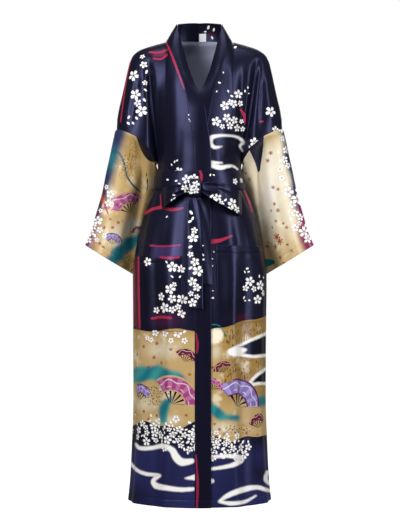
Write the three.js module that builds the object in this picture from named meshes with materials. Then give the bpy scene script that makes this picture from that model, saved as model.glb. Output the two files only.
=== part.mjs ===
// A long kimono robe in printed satin, held as it is worn: filled out, hollow and belted.
// Millimetres, +Z up. The front faces -Y and the wearer's right side is -X.
// The origin lies midway between the neck ends of the two shoulder seams.

import * as THREE from 'three';

// ---- driving dimensions ----
const CLOTH_WALL = 1.6;       // one layer of satin with its seam allowances
const BAND_WALL = 2.2;        // the neck band is folded double
const BELT_WALL = 2.0;        // the sash is folded double
const SEAM_GAP = 0.3;         // parting between two sewn pieces
const NECK_HALF = 95;         // half the neck width at the shoulder seams
const NECK_RISE = 12;         // how far the back neck seam rises above the shoulder seams' neck ends
const UNDERARM_Z = -346;      // height of the underarm point
const UNDERARM_X = 120;       // half width of the body there
const ARMHOLE_TOP_Z = -249;   // where the armhole seam meets the overarm line
const HEM_Z = -1305;          // height of the hem
const BAND_SEAM_X = 13;       // distance of each band seam from the centre line below the chest
const BAND_WIDTH = 45;        // visible width of the neck band
const LAP = 2.6;              // how far each front is moved out or in where they lap
const SLEEVE_DROP = 331;      // length of the sleeve below the armhole seam
const BELT_TOP_Z = -374;
const BELT_BOTTOM_Z = -423;
const POCKET_BULGE = 7;       // how far the mouth of a pocket stands off

const TORSO_COLUMNS = 8;      // columns of a front panel between band seam and side seam
const ARM_COLUMNS = 8;        // columns from the underarm to the overarm line
const NECK_COLUMNS = 4;       // extra columns of the back on each side of its centre
const UPPER_ROWS = 13;
const BAND_COLUMNS = 3;

// Half width of the outline from the neck down over the shoulder and arm.
const OUTLINE = [
  { z: 0, x: 95 },
  { z: -10, x: 132 },
  { z: -23, x: 168 },
  { z: -38, x: 188 },
  { z: -57, x: 198.5 },
  { z: -74, x: 203 },
  { z: -91, x: 207 },
  { z: -126, x: 214.5 },
  { z: -160, x: 222 },
  { z: -194, x: 230 },
  { z: -229, x: 236 },
  { z: -263, x: 242.5 },
  { z: -297, x: 250 },
  { z: -331, x: 257 },
  { z: -366, x: 265 },
  { z: -400, x: 272 },
  { z: -434, x: 279 },
  { z: -469, x: 289 },
  { z: -503, x: 299 },
  { z: -537, x: 308 },
  { z: -580, x: 327 },
];

// The neck opening carries the shoulder's crest on upwards.
const CREST_ABOVE = [
  { x: 0, z: 100 },
  { x: 60, z: 70 },
  { x: 80, z: 40 },
  { x: 90, z: 18 },
  { x: 95, z: 0 },
];

// Upper body: reach of the torso lobe, its depth in front and behind, and the depth of the arm lobe.
const UPPER = [
  { z: 60, reach: 205, front: 98, back: 92, arm: 40 },
  { z: 0, reach: 200, front: 100, back: 94, arm: 42 },
  { z: -60, reach: 195, front: 102, back: 97, arm: 47 },
  { z: -100, reach: 186, front: 104, back: 100, arm: 51 },
  { z: -150, reach: 168, front: 107, back: 102, arm: 53 },
  { z: -200, reach: 151, front: 108, back: 101, arm: 54 },
  { z: -250, reach: 137, front: 106, back: 98, arm: 54 },
  { z: -300, reach: 126, front: 101, back: 95, arm: 53 },
  { z: -346, reach: 120, front: 98, back: 92, arm: 50 },
];

// Rings of the body below the underarm: half width, depth in front and behind.
const RINGS = [
  { z: -346, half: 120, front: 98, back: 92 },
  { z: -352, half: 118.8, front: 97.8, back: 91.5 },
  { z: -362, half: 118.4, front: 97.4, back: 90.6 },
  { z: -374, half: 120.5, front: 96.9, back: 89.6 },
  { z: -394, half: 126, front: 96, back: 88 },
  { z: -423, half: 131, front: 97, back: 90 },
  { z: -451, half: 143, front: 102, back: 98 },
  { z: -508, half: 162, front: 114, back: 113 },
  { z: -545, half: 171, front: 122, back: 121 },
  { z: -594, half: 181, front: 131, back: 127 },
  { z: -666, half: 189.5, front: 138, back: 130 },
  { z: -820, half: 189.5, front: 141, back: 132 },
  { z: -1023, half: 189, front: 142, back: 134 },
  { z: -1137, half: 193, front: 143, back: 137 },
  { z: -1240, half: 198, front: 145, back: 139 },
  { z: -1320, half: 206, front: 148, back: 143 },
];

// Heights of the rows of points below the underarm.
const LOWER_Z = [-346, -352, -361, -374, -391, -407, -423, -438, -455, -480, -510, -545, -580, -611,
  -645, -680, -730, -780, -820, -875, -935, -1000, -1070, -1140, -1200, -1255, -1295, HEM_Z];

// The band seam from the neck down: height and distance from the centre line.
const BAND_SEAM = [
  { z: 0, x: 95 },
  { z: -20, x: 86 },
  { z: -57, x: 71 },
  { z: -95, x: 57 },
  { z: -131, x: 45 },
  { z: -170, x: 36 },
  { z: -209, x: 30 },
  { z: -255, x: 22 },
  { z: -303, x: 15 },
  { z: -346, x: BAND_SEAM_X },
];

// From the band seam to the band's free edge: towards the centre, back and up.
const BAND_RISE = [
  { z: 10, inward: 30, back: 8, up: 52 },
  { z: 0, inward: 30, back: 8, up: 52 },
  { z: -20, inward: 27, back: 15, up: 42 },
  { z: -57, inward: 25, back: 20, up: 31 },
  { z: -95, inward: 24, back: 19, up: 19 },
  { z: -131, inward: 27, back: 13, up: 11 },
  { z: -170, inward: 38, back: 5, up: 7 },
  { z: -209, inward: 46, back: 1, up: 5 },
  { z: -303, inward: BAND_WIDTH, back: 0, up: 1 },
  { z: -346, inward: BAND_WIDTH, back: 0, up: 0 },
  { z: HEM_Z - 5, inward: BAND_WIDTH, back: 0, up: 0 },
];

// The same round the back of the neck, by distance of the seam from the centre line.
const COLLAR_RISE = [
  { x: 0, inward: 0, back: -15, up: 51 },
  { x: 35, inward: 10, back: -12, up: 52 },
  { x: 62, inward: 18, back: -6, up: 53 },
  { x: 84, inward: 26, back: 2, up: 54 },
  { x: 95, inward: 30, back: 8, up: 52 },
];

// The armhole seam from the underarm to the overarm line.
const ARMHOLE = [
  { x: 120, z: -346 },
  { x: 134, z: -323 },
  { x: 152, z: -299 },
  { x: 173, z: -279 },
  { x: 200, z: -264 },
  { x: 236, z: ARMHOLE_TOP_Z },
];

// Inner edge of the sleeve, by share of its length.
const SLEEVE_INNER = [
  { along: 0, x: 120, y: 0 },
  { along: 0.02, x: 123.5, y: 9.5 },
  { along: 0.05, x: 120.5, y: 21 },
  { along: 0.08, x: 119.5, y: 31 },
  { along: 0.15, x: 121, y: 46 },
  { along: 0.31, x: 135, y: 60 },
  { along: 0.5, x: 152, y: 72 },
  { along: 0.72, x: 165, y: 82 },
  { along: 1, x: 172, y: 88 },
];

// The sleeve's long crease: where it runs across and along the sleeve, and how deep it is.
const SLEEVE_CREASE = {
  right: [
    { along: 0, across: 0.47, depth: 7 },
    { along: 0.15, across: 0.36, depth: 20 },
    { along: 0.32, across: 0.27, depth: 19 },
    { along: 0.6, across: 0.24, depth: 10 },
    { along: 1, across: 0.22, depth: 5 },
  ],
  left: [
    { along: 0, across: 0.5, depth: 8 },
    { along: 0.15, across: 0.38, depth: 22 },
    { along: 0.35, across: 0.32, depth: 21 },
    { along: 0.65, across: 0.28, depth: 13 },
    { along: 1, across: 0.3, depth: 6 },
  ],
};

// Soft folds that run down the sleeve: place across, width, height and reach.
const SLEEVE_FOLDS = [
  { across: 0.62, width: 0.09, height: 4, from: 0.15, to: 1.3 },
  { across: 0.8, width: 0.07, height: -4, from: 0.3, to: 1.3 },
  { across: 0.45, width: 0.07, height: 3, from: 0.4, to: 1.3 },
];

// Folds of the body below the underarm. phi is the angle from the front centre, positive
// towards +X; lean is how far it drifts by the hem; height is out from the body.
const BODY_FOLDS = [
  { phi: -24, lean: -4, width: 7, height: 6, from: -440, to: -1500 },
  { phi: -40, lean: 3, width: 6, height: -6, from: -450, to: -1400 },
  { phi: -58, lean: -4, width: 8, height: 5, from: -520, to: -1500 },
  { phi: -78, lean: 4, width: 7, height: -5, from: -560, to: -1500 },
  { phi: 16, lean: 3, width: 6, height: -4, from: -430, to: -900 },
  { phi: 27, lean: 4, width: 6, height: 6, from: -440, to: -1500 },
  { phi: 43, lean: -4, width: 7, height: -6, from: -500, to: -1400 },
  { phi: 62, lean: 3, width: 7, height: 5, from: -470, to: -1500 },
  { phi: 80, lean: -3, width: 6, height: -4, from: -600, to: -1500 },
  { phi: 104, lean: 5, width: 8, height: 5, from: -480, to: -1500 },
  { phi: 126, lean: -4, width: 8, height: -7, from: -450, to: -1500 },
  { phi: 148, lean: 4, width: 9, height: 7, from: -440, to: -1500 },
  { phi: 171, lean: -3, width: 9, height: -6, from: -440, to: -1400 },
  { phi: -164, lean: -3, width: 9, height: 7, from: -450, to: -1500 },
  { phi: -143, lean: 5, width: 8, height: -6, from: -440, to: -1500 },
  { phi: -120, lean: -4, width: 8, height: 6, from: -470, to: -1500 },
  { phi: -101, lean: 3, width: 7, height: -4, from: -540, to: -1500 },
];

// Troughs of the upper body from the shoulder to the underarm: where each starts and ends.
const SHOULDER_TROUGHS = [
  { side: -1, face: -1, topX: 146, bottomX: 124, width: 10, depth: 15, from: -45, to: -330 },
  { side: 1, face: -1, topX: 166, bottomX: 125, width: 10, depth: 17, from: -40, to: -330 },
  { side: -1, face: 1, topX: 150, bottomX: 124, width: 11, depth: 14, from: -60, to: -330 },
  { side: 1, face: 1, topX: 152, bottomX: 124, width: 11, depth: 13, from: -55, to: -330 },
];

// Pockets: panel columns between which each lies, and its edges at the inner and outer side.
const POCKETS = {
  right: { firstColumn: 1, lastColumn: 7, topInner: -613, topOuter: -611, bottomInner: -822, bottomOuter: -812 },
  left: { firstColumn: 1, lastColumn: 7, topInner: -583, topOuter: -588, bottomInner: -806, bottomOuter: -788 },
};

// The bow's loops, from the knot outwards: distance, middle height, strip height, half opening,
// and distance of the rear layer from the belt or fronts.
const BOW = {
  right: [
    { out: 0, mid: -424, strip: 22, bulge: 3, stand: 11.5 },
    { out: 20, mid: -427, strip: 27, bulge: 10, stand: 4 },
    { out: 42, mid: -434, strip: 38, bulge: 14, stand: 3.4 },
    { out: 62, mid: -444, strip: 50, bulge: 12, stand: 3.6 },
    { out: 74, mid: -450, strip: 57, bulge: 7, stand: 2.5 },
    { out: 78, mid: -452, strip: 57, bulge: 1.2, stand: 5 },
  ],
  left: [
    { out: 0, mid: -422, strip: 22, bulge: 3, stand: 11.5 },
    { out: 26, mid: -429, strip: 42, bulge: 11, stand: 4 },
    { out: 54, mid: -438, strip: 58, bulge: 15, stand: 2.4 },
    { out: 84, mid: -450, strip: 65, bulge: 13, stand: 2 },
    { out: 108, mid: -462, strip: 67, bulge: 8, stand: 2.5 },
    { out: 116, mid: -465, strip: 66, bulge: 1.2, stand: 6 },
  ],
};

// The sash's ends below the knot: height, left and right edge, stand off from the fronts.
const TAILS = {
  front: [
    { z: -450.8, left: -27, right: -9, off: 17 },
    { z: -480, left: -34, right: 0, off: 15 },
    { z: -530, left: -34, right: 5, off: 12 },
    { z: -600, left: -33, right: 8, off: 11 },
    { z: -680, left: -32, right: 9, off: 11 },
    { z: -757, left: -31, right: 10, off: 12 },
  ],
  rear: [
    { z: -450.8, left: -13, right: 4, off: 11.5 },
    { z: -480, left: -12, right: 20, off: 7.5 },
    { z: -530, left: -8, right: 30, off: 6 },
    { z: -600, left: -7, right: 33, off: 6 },
    { z: -690, left: -6, right: 36, off: 6.5 },
  ],
};

const KNOT = { x: -12, z: -424, width: 32, height: 50, depth: 27, wall: 2.4 };
const LABEL = { left: -1, right: 19, bottom: 4, top: 34 };

// ---- small helpers ----
const clamp = (value, low, high) => Math.min(high, Math.max(low, value));
const mix = (a, b, share) => a + (b - a) * share;
const radians = (degrees) => degrees * Math.PI / 180;

function smooth(low, high, value) {
  const share = clamp((value - low) / (high - low), 0, 1);
  return share * share * (3 - 2 * share);
}

// Smooth reading of a table: monotone cubic between rows, by the named key column.
function read(table, key, value, column) {
  const count = table.length;
  const up = table[count - 1][key] > table[0][key];
  const rows = up ? table : [...table].reverse();
  if (value <= rows[0][key]) return rows[0][column];
  if (value >= rows[count - 1][key]) return rows[count - 1][column];
  let at = 0;
  while (rows[at + 1][key] < value) at += 1;
  const slope = (k) => (rows[k + 1][column] - rows[k][column]) / (rows[k + 1][key] - rows[k][key]);
  const tangent = (k) => {
    if (k === 0) return slope(0);
    if (k === count - 1) return slope(count - 2);
    const before = slope(k - 1);
    const after = slope(k);
    return before * after <= 0 ? 0 : 2 * before * after / (before + after);
  };
  const span = rows[at + 1][key] - rows[at][key];
  const share = (value - rows[at][key]) / span;
  const s2 = share * share;
  const s3 = s2 * share;
  return (2 * s3 - 3 * s2 + 1) * rows[at][column]
    + (s3 - 2 * s2 + share) * span * tangent(at)
    + (3 * s2 - 2 * s3) * rows[at + 1][column]
    + (s3 - s2) * span * tangent(at + 1);
}

// How full the cloth is at a distance from a crest or valley: round at first, then flat.
function fullness(distance, width) {
  return Math.sqrt(Math.sin(Math.PI / 2 * clamp(distance / width, 0, 1)));
}

// ---- the body's surface ----
const outlineX = (z) => (z > 0 ? read(CREST_ABOVE, 'z', z, 'x') : read(OUTLINE, 'z', z, 'x'));
const SHOULDER = OUTLINE.filter((row) => row.z >= -57);
function crestZ(x) {
  if (x < NECK_HALF) return read(CREST_ABOVE, 'x', x, 'z');
  if (x > 198.5) return read(OUTLINE, 'x', x, 'z');
  return read(SHOULDER, 'x', x, 'z');
}

// Depth of the upper body at x, z. face is -1 in front and 1 behind, side is -1 or 1.
function upperDepth(x, z, face, side) {
  const down = Math.max(0, crestZ(x) - z);
  const inwards = Math.max(0, outlineX(z) - x);
  const distance = down * inwards / Math.sqrt(down * down + inwards * inwards + 1e-6);
  const reach = read(UPPER, 'z', z, 'reach');
  const depth = read(UPPER, 'z', z, face < 0 ? 'front' : 'back');
  const torso = depth * Math.sqrt(Math.max(0, 1 - (x / reach) ** 2)) * fullness(distance, face < 0 ? 240 : 170);
  const valley = UNDERARM_X - 0.25 * (z - UNDERARM_Z);
  const arm = read(UPPER, 'z', z, 'arm') * fullness(x - valley, 60) * fullness(distance, 80);
  const blend = 14 * smooth(0, 70, z - UNDERARM_Z) * smooth(0, 20, distance);
  let full = (torso + arm + Math.sqrt((torso - arm) ** 2 + blend * blend)) / 2 - blend * 0.1;
  for (const trough of SHOULDER_TROUGHS) {
    if (trough.side !== side || trough.face !== face) continue;
    const share = (z - trough.from) / (trough.to - trough.from);
    const middle = mix(trough.topX, trough.bottomX, clamp(share, 0, 1));
    const window = smooth(0, 0.25, share) * smooth(1.05, 0.8, share);
    full -= trough.depth * window * Math.exp(-(((x - middle) / trough.width) ** 2));
  }
  return Math.max(0, full);
}

// A point of the rings below the underarm, at angle phi from the front centre.
function ringPoint(phi, z) {
  const angle = radians(phi);
  const half = read(RINGS, 'z', z, 'half');
  const depth = read(RINGS, 'z', z, Math.cos(angle) > 0 ? 'front' : 'back');
  let out = 0;
  for (const fold of BODY_FOLDS) {
    const share = (z - fold.from) / (HEM_Z - fold.from);
    const fade = smooth(0, 0.35, share) * smooth(fold.to, fold.to + 250, z);
    let turn = phi - fold.phi - fold.lean * clamp(share, 0, 1);
    turn -= 360 * Math.round(turn / 360);
    out += fold.height * fade * Math.exp(-((turn / fold.width) ** 2));
  }
  const normal = new THREE.Vector2(Math.sin(angle) / half, -Math.cos(angle) / depth).normalize();
  return new THREE.Vector3(
    half * Math.sin(angle) + out * normal.x,
    -depth * Math.cos(angle) + out * normal.y,
    z,
  );
}

// How far a front is moved out where it laps over, or in where it lies under.
function lapAt(side, x, z) {
  const fade = smooth(-70, -128, z) * smooth(112, 42, Math.abs(x));
  return -side * LAP * fade;
}

// A point of a front panel or of the band that lies on it. x is measured from the centre
// line towards the panel's own side and may be negative.
function frontPoint(side, x, z) {
  const reach = z > UNDERARM_Z ? 1 : read(RINGS, 'z', z, 'half');
  let point;
  if (z > UNDERARM_Z) {
    point = new THREE.Vector3(side * x, -upperDepth(Math.abs(x), z, -1, side), z);
  } else {
    const phi = THREE.MathUtils.radToDeg(Math.asin(clamp(x / reach, -1, 1)));
    point = ringPoint(side * phi, z);
  }
  point.y -= lapAt(side, x, z);
  return point;
}

// ---- grids of points ----
const rowShare = (i) => (i / UPPER_ROWS) ** 1.7;

// Patch of the upper body in x and z, blended between its four edges.
function patch(top, bottom, inner, outer) {
  const columns = top.length - 1;
  const rows = inner.length - 1;
  const grid = [];
  for (let i = 0; i <= rows; i += 1) {
    const v = rowShare(i);
    const row = [];
    for (let j = 0; j <= columns; j += 1) {
      const u = j / columns;
      const blend = (axis) => (1 - v) * top[j][axis] + v * bottom[j][axis]
        + (1 - u) * inner[i][axis] + u * outer[i][axis]
        - (1 - u) * (1 - v) * top[0][axis] - u * (1 - v) * top[columns][axis]
        - (1 - u) * v * bottom[0][axis] - u * v * bottom[columns][axis];
      row.push({ x: blend('x'), z: blend('z') });
    }
    grid.push(row);
  }
  return grid;
}

function shoulderPoint(j) {
  const share = j / (TORSO_COLUMNS + ARM_COLUMNS);
  const x = mix(NECK_HALF, 188, share ** 0.92);
  return { x, z: crestZ(x) };
}

function armholePoint(k) {
  const share = 0.5 - 0.5 * Math.cos(Math.PI * k / ARM_COLUMNS);
  const x = mix(UNDERARM_X, 236, share);
  return { x, z: read(ARMHOLE, 'x', x, 'z') };
}

function overarmEdge() {
  const edge = [];
  for (let i = 0; i <= UPPER_ROWS; i += 1) {
    const z = mix(crestZ(188), ARMHOLE_TOP_Z, rowShare(i));
    edge.push({ x: i === 0 ? 188 : (i === UPPER_ROWS ? 236 : outlineX(z)), z });
  }
  return edge;
}

function frontColumnAngle(j, z) {
  const half = read(RINGS, 'z', z, 'half');
  const start = THREE.MathUtils.radToDeg(Math.asin(BAND_SEAM_X / half));
  return mix(start, 90, j / TORSO_COLUMNS);
}

const backColumns = TORSO_COLUMNS + NECK_COLUMNS;
const backColumnAngle = (j) => 180 - 90 * j / backColumns;

function frontUpper(side) {
  const columns = TORSO_COLUMNS + ARM_COLUMNS;
  const top = [];
  const bottom = [];
  const inner = [];
  for (let j = 0; j <= columns; j += 1) {
    top.push(shoulderPoint(j));
    if (j <= TORSO_COLUMNS) {
      const x = UNDERARM_X * Math.sin(radians(frontColumnAngle(j, UNDERARM_Z)));
      bottom.push({ x, z: UNDERARM_Z });
    } else {
      bottom.push(armholePoint(j - TORSO_COLUMNS));
    }
  }
  for (let i = 0; i <= UPPER_ROWS; i += 1) {
    const z = mix(0, UNDERARM_Z, rowShare(i));
    inner.push({ x: read(BAND_SEAM, 'z', z, 'x'), z });
  }
  bottom[0] = inner[UPPER_ROWS];
  const flat = patch(top, bottom, inner, overarmEdge());
  return flat.map((row, i) => row.map((spot, j) => {
    const crest = i === 0 || j === columns;
    const depth = crest ? 0 : upperDepth(spot.x, spot.z, -1, side);
    return new THREE.Vector3(side * spot.x, -depth - lapAt(side, spot.x, spot.z), spot.z);
  }));
}

function neckPoint(j) {
  const x = NECK_HALF * Math.sin(Math.PI / 2 * j / NECK_COLUMNS);
  return { x, z: NECK_RISE * (1 - (x / NECK_HALF) ** 2) };
}

function backUpper(side) {
  const columns = backColumns + ARM_COLUMNS;
  const top = [];
  const bottom = [];
  const inner = [];
  for (let j = 0; j <= columns; j += 1) {
    top.push(j <= NECK_COLUMNS ? neckPoint(j) : shoulderPoint(j - NECK_COLUMNS));
    if (j <= backColumns) {
      bottom.push({ x: UNDERARM_X * Math.sin(radians(backColumnAngle(j))), z: UNDERARM_Z });
    } else {
      bottom.push(armholePoint(j - backColumns));
    }
  }
  for (let i = 0; i <= UPPER_ROWS; i += 1) {
    inner.push({ x: 0, z: mix(neckPoint(0).z, UNDERARM_Z, rowShare(i)) });
  }
  bottom[0] = inner[UPPER_ROWS];
  const flat = patch(top, bottom, inner, overarmEdge());
  return flat.map((row, i) => row.map((spot, j) => {
    const crest = (i === 0 && j >= NECK_COLUMNS) || j === columns;
    const depth = crest ? 0 : upperDepth(spot.x, spot.z, 1, side);
    return new THREE.Vector3(side * spot.x, depth, spot.z);
  }));
}

// ---- sheets: points and triangles of the cloth's middle surface ----
class Sheet {
  constructor() {
    this.points = [];
    this.faces = [];
    this.index = new Map();
  }

  add(point) {
    const key = [point.x, point.y, point.z].map((n) => Math.round(n * 1000)).join(' ');
    if (!this.index.has(key)) {
      this.index.set(key, this.points.length);
      this.points.push(point.clone());
    }
    return this.index.get(key);
  }

  face(a, b, c) {
    if (a !== b && b !== c && a !== c) this.faces.push([a, b, c]);
  }

  // Adds a grid of points; flip turns its outer side round.
  grid(rows, flip) {
    const ids = rows.map((row) => row.map((point) => this.add(point)));
    for (let i = 0; i + 1 < rows.length; i += 1) {
      for (let j = 0; j + 1 < rows[i].length; j += 1) {
        const [a, b, c, d] = [ids[i][j], ids[i + 1][j], ids[i + 1][j + 1], ids[i][j + 1]];
        const first = this.points[a].distanceTo(this.points[c]) < this.points[b].distanceTo(this.points[d]);
        const list = first ? [[a, b, c], [a, c, d]] : [[a, b, d], [b, c, d]];
        for (const [p, q, r] of list) {
          if (flip) this.face(p, r, q);
          else this.face(p, q, r);
        }
      }
    }
    return ids;
  }
}

const keyOf = (point) => [point.x, point.y, point.z].map((n) => Math.round(n * 1000)).join(' ');

// Normals summed over all sheets that are sewn together, so that they meet squarely.
function sharedNormals(sheets) {
  const sums = new Map();
  for (const sheet of sheets) {
    for (const [a, b, c] of sheet.faces) {
      const [p, q, r] = [sheet.points[a], sheet.points[b], sheet.points[c]];
      const normal = q.clone().sub(p).cross(r.clone().sub(p));
      for (const point of [p, q, r]) {
        const key = keyOf(point);
        if (!sums.has(key)) sums.set(key, new THREE.Vector3());
        sums.get(key).add(normal);
      }
    }
  }
  return sums;
}

// A closed wall of the given thickness round a sheet. Its rim is drawn in by half the gap.
function wall(sheet, thickness, normals, options = {}) {
  const own = sharedNormals([sheet]);
  const corner = options.cornerAt || (() => false);
  const unit = sheet.points.map((point) => {
    const key = keyOf(point);
    const source = corner(point) ? options.cornerNormals || own : normals;
    return source.get(key).clone().normalize();
  });
  const edges = new Map();
  for (const [a, b, c] of sheet.faces) {
    for (const [from, to] of [[a, b], [b, c], [c, a]]) edges.set(`${from} ${to}`, [from, to]);
  }
  const rim = [...edges.values()].filter(([from, to]) => !edges.has(`${to} ${from}`));
  const moves = sheet.points.map(() => []);
  for (const [from, to] of rim) {
    const along = sheet.points[to].clone().sub(sheet.points[from]).normalize();
    const ownNormal = own.get(keyOf(sheet.points[from])).clone().add(own.get(keyOf(sheet.points[to]))).normalize();
    const inward = ownNormal.clone().cross(along).normalize();
    for (const end of [from, to]) {
      const square = unit[end].clone().cross(along).normalize();
      moves[end].push({ inward, size: (options.gap || SEAM_GAP) / 2 / Math.max(0.5, inward.dot(square)) });
    }
  }
  const middle = sheet.points.map((point, at) => {
    const moved = point.clone();
    const list = moves[at];
    if (list.length === 0) return moved;
    const sum = new THREE.Vector3();
    for (const { inward, size } of list) sum.addScaledVector(inward, size / list.length);
    const turn = list.length > 1 ? clamp(list[0].inward.dot(list[1].inward), -0.5, 1) : 1;
    moved.addScaledVector(sum, list.length > 1 ? 2 / (1 + turn) : 1);
    if (options.shift) options.shift(moved, point);
    return moved;
  });
  const count = middle.length;
  const positions = [];
  const outer = options.outer === undefined ? thickness / 2 : options.outer;
  for (const [at, point] of middle.entries()) {
    positions.push(...point.clone().addScaledVector(unit[at], outer).toArray());
  }
  for (const [at, point] of middle.entries()) {
    positions.push(...point.clone().addScaledVector(unit[at], outer - thickness).toArray());
  }
  const triangles = [];
  for (const [a, b, c] of sheet.faces) {
    triangles.push(a, b, c);
    triangles.push(a + count, c + count, b + count);
  }
  for (const [from, to] of rim) {
    triangles.push(to, from, from + count);
    triangles.push(to, from + count, to + count);
  }
  const geometry = new THREE.BufferGeometry();
  geometry.setAttribute('position', new THREE.Float32BufferAttribute(positions, 3));
  geometry.setIndex(triangles);
  return geometry;
}

// ---- panels ----
const upperFront = { right: frontUpper(-1), left: frontUpper(1) };
const upperBack = { right: backUpper(-1), left: backUpper(1) };

function frontLower(side) {
  return LOWER_Z.map((z, i) => {
    const name = side < 0 ? 'right' : 'left';
    const row = [];
    for (let j = 0; j <= TORSO_COLUMNS; j += 1) {
      if (i === 0) {
        row.push(upperFront[name][UPPER_ROWS][j].clone());
        continue;
      }
      const phi = frontColumnAngle(j, z);
      const point = ringPoint(side * phi, z);
      if (j < TORSO_COLUMNS) point.y -= lapAt(side, Math.abs(point.x), z);
      row.push(point);
    }
    return row;
  });
}

function backLower(side) {
  return LOWER_Z.map((z, i) => {
    const name = side < 0 ? 'right' : 'left';
    const row = [];
    for (let j = 0; j <= backColumns; j += 1) {
      if (i === 0) row.push(upperBack[name][UPPER_ROWS][j].clone());
      else row.push(ringPoint(side * backColumnAngle(j), z));
    }
    return row;
  });
}

const lowerFront = { right: frontLower(-1), left: frontLower(1) };
const lowerBack = { right: backLower(-1), left: backLower(1) };

function frontSheet(name) {
  const sheet = new Sheet();
  const flip = name === 'right';
  sheet.grid(upperFront[name], flip);
  sheet.grid(lowerFront[name], flip);
  return sheet;
}

function backSheet() {
  const sheet = new Sheet();
  for (const name of ['right', 'left']) {
    const flip = name === 'left';
    sheet.grid(upperBack[name], flip);
    sheet.grid(lowerBack[name], flip);
  }
  return sheet;
}

// ---- sleeves ----
const SLEEVE_ALONG = [0, 0.02, 0.05, 0.1, 0.16, 0.23, 0.31, 0.39, 0.47, 0.56, 0.65, 0.75, 0.85, 0.93, 1];

function sleeveRows(name) {
  const side = name === 'right' ? -1 : 1;
  const front = upperFront[name][UPPER_ROWS].slice(TORSO_COLUMNS);
  const back = upperBack[name][UPPER_ROWS].slice(backColumns);
  return SLEEVE_ALONG.map((along) => {
    const outer = { z: ARMHOLE_TOP_Z - SLEEVE_DROP * along, y: mix(0, 5, along) };
    outer.x = outlineX(outer.z);
    if (along === 0) outer.x = 236;
    const inner = {
      x: read(SLEEVE_INNER, 'along', along, 'x'),
      y: read(SLEEVE_INNER, 'along', along, 'y'),
      z: UNDERARM_Z - SLEEVE_DROP * along,
    };
    const settle = smooth(0, 0.45, along);
    const point = (k, face) => {
      const seam = (face < 0 ? front : back)[k];
      if (along === 0) return seam.clone();
      const across = 0.5 - 0.5 * Math.cos(Math.PI * k / ARM_COLUMNS);
      const straightZ = mix(UNDERARM_Z, ARMHOLE_TOP_Z, across);
      const bend = (seam.z - straightZ) * (1 - settle);
      const x = mix(inner.x, outer.x, across);
      const z = mix(inner.z, outer.z, across) + bend;
      const lens = (face < 0 ? mix(47, 38, along) : mix(45, 30, along)) * Math.sin(Math.PI * across) ** 0.72;
      let swell = mix(Math.abs(seam.y), lens, settle);
      const crease = SLEEVE_CREASE[name];
      const middle = read(crease, 'along', along, 'across');
      const deep = read(crease, 'along', along, 'depth') * (face < 0 ? 1 : 0.6) * smooth(0, 0.06, along);
      swell -= deep * Math.exp(-(((across - middle) / 0.1) ** 2));
      for (const fold of SLEEVE_FOLDS) {
        const place = face < 0 ? fold.across : 1.02 - fold.across;
        const fade = smooth(fold.from, fold.from + 0.3, along);
        swell += fold.height * fade * Math.exp(-(((across - place) / fold.width) ** 2));
      }
      const ends = k === 0 || k === ARM_COLUMNS;
      return new THREE.Vector3(side * x, mix(inner.y, outer.y, across) + (ends ? 0 : face * swell), z);
    };
    const row = [];
    for (let k = 0; k <= ARM_COLUMNS; k += 1) row.push(point(k, -1));
    for (let k = ARM_COLUMNS - 1; k >= 0; k -= 1) row.push(point(k, 1));
    return row;
  });
}

function sleeveSheet(name) {
  const sheet = new Sheet();
  sheet.grid(sleeveRows(name), name === 'right');
  return sheet;
}

// ---- neck band ----
function bandRow(side, seam) {
  const rise = (column) => read(BAND_RISE, 'z', seam.z, column);
  const follow = smooth(-120, -215, seam.z);
  const seamX = Math.abs(seam.x);
  const row = [];
  for (let c = 0; c <= BAND_COLUMNS; c += 1) {
    const share = c / BAND_COLUMNS;
    const x = seamX - rise('inward') * share;
    const z = seam.z + rise('up') * share;
    const straight = seam.y + rise('back') * share - 4 * Math.sin(Math.PI * share) * (1 - follow);
    if (c === 0) {
      row.push(seam.clone());
      continue;
    }
    const laid = follow > 0 ? frontPoint(side, x, z).y + rise('back') * share : straight;
    row.push(new THREE.Vector3(side * x, mix(straight, laid, follow), z));
  }
  return row;
}

function collarRow(side, seam) {
  const rise = (column) => read(COLLAR_RISE, 'x', Math.abs(seam.x), column);
  const row = [];
  for (let c = 0; c <= BAND_COLUMNS; c += 1) {
    const share = c / BAND_COLUMNS;
    row.push(new THREE.Vector3(
      side * (Math.abs(seam.x) - rise('inward') * share),
      seam.y + rise('back') * share + 3 * Math.sin(Math.PI * share),
      seam.z + rise('up') * share,
    ));
  }
  return row;
}

function bandHalf(name) {
  const side = name === 'right' ? -1 : 1;
  const rows = [];
  for (let i = LOWER_Z.length - 1; i >= 1; i -= 1) rows.push(bandRow(side, lowerFront[name][i][0]));
  for (let i = UPPER_ROWS; i >= 1; i -= 1) rows.push(bandRow(side, upperFront[name][i][0]));
  for (let j = NECK_COLUMNS; j >= 0; j -= 1) rows.push(collarRow(side, upperBack[name][0][j]));
  return rows;
}

function bandSheet() {
  const right = bandHalf('right');
  const left = bandHalf('left');
  left.pop();
  const sheet = new Sheet();
  sheet.grid([...right, ...left.reverse()], true);
  return sheet;
}

// ---- pieces laid on the panels ----
// Middle surface of a panel, moved out by a distance.
function movedOut(side, phi, z, distance) {
  const here = ringPoint(side * phi, z);
  const turned = ringPoint(side * (phi + 0.5), z).sub(ringPoint(side * (phi - 0.5), z));
  const raised = ringPoint(side * phi, z + 2).sub(ringPoint(side * phi, z - 2));
  const normal = turned.cross(raised).normalize();
  if (normal.x * here.x / 150 + normal.y * here.y / 100 < 0) normal.negate();
  here.y -= lapAt(side, Math.abs(here.x), z);
  return here.addScaledVector(normal, distance);
}

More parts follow.
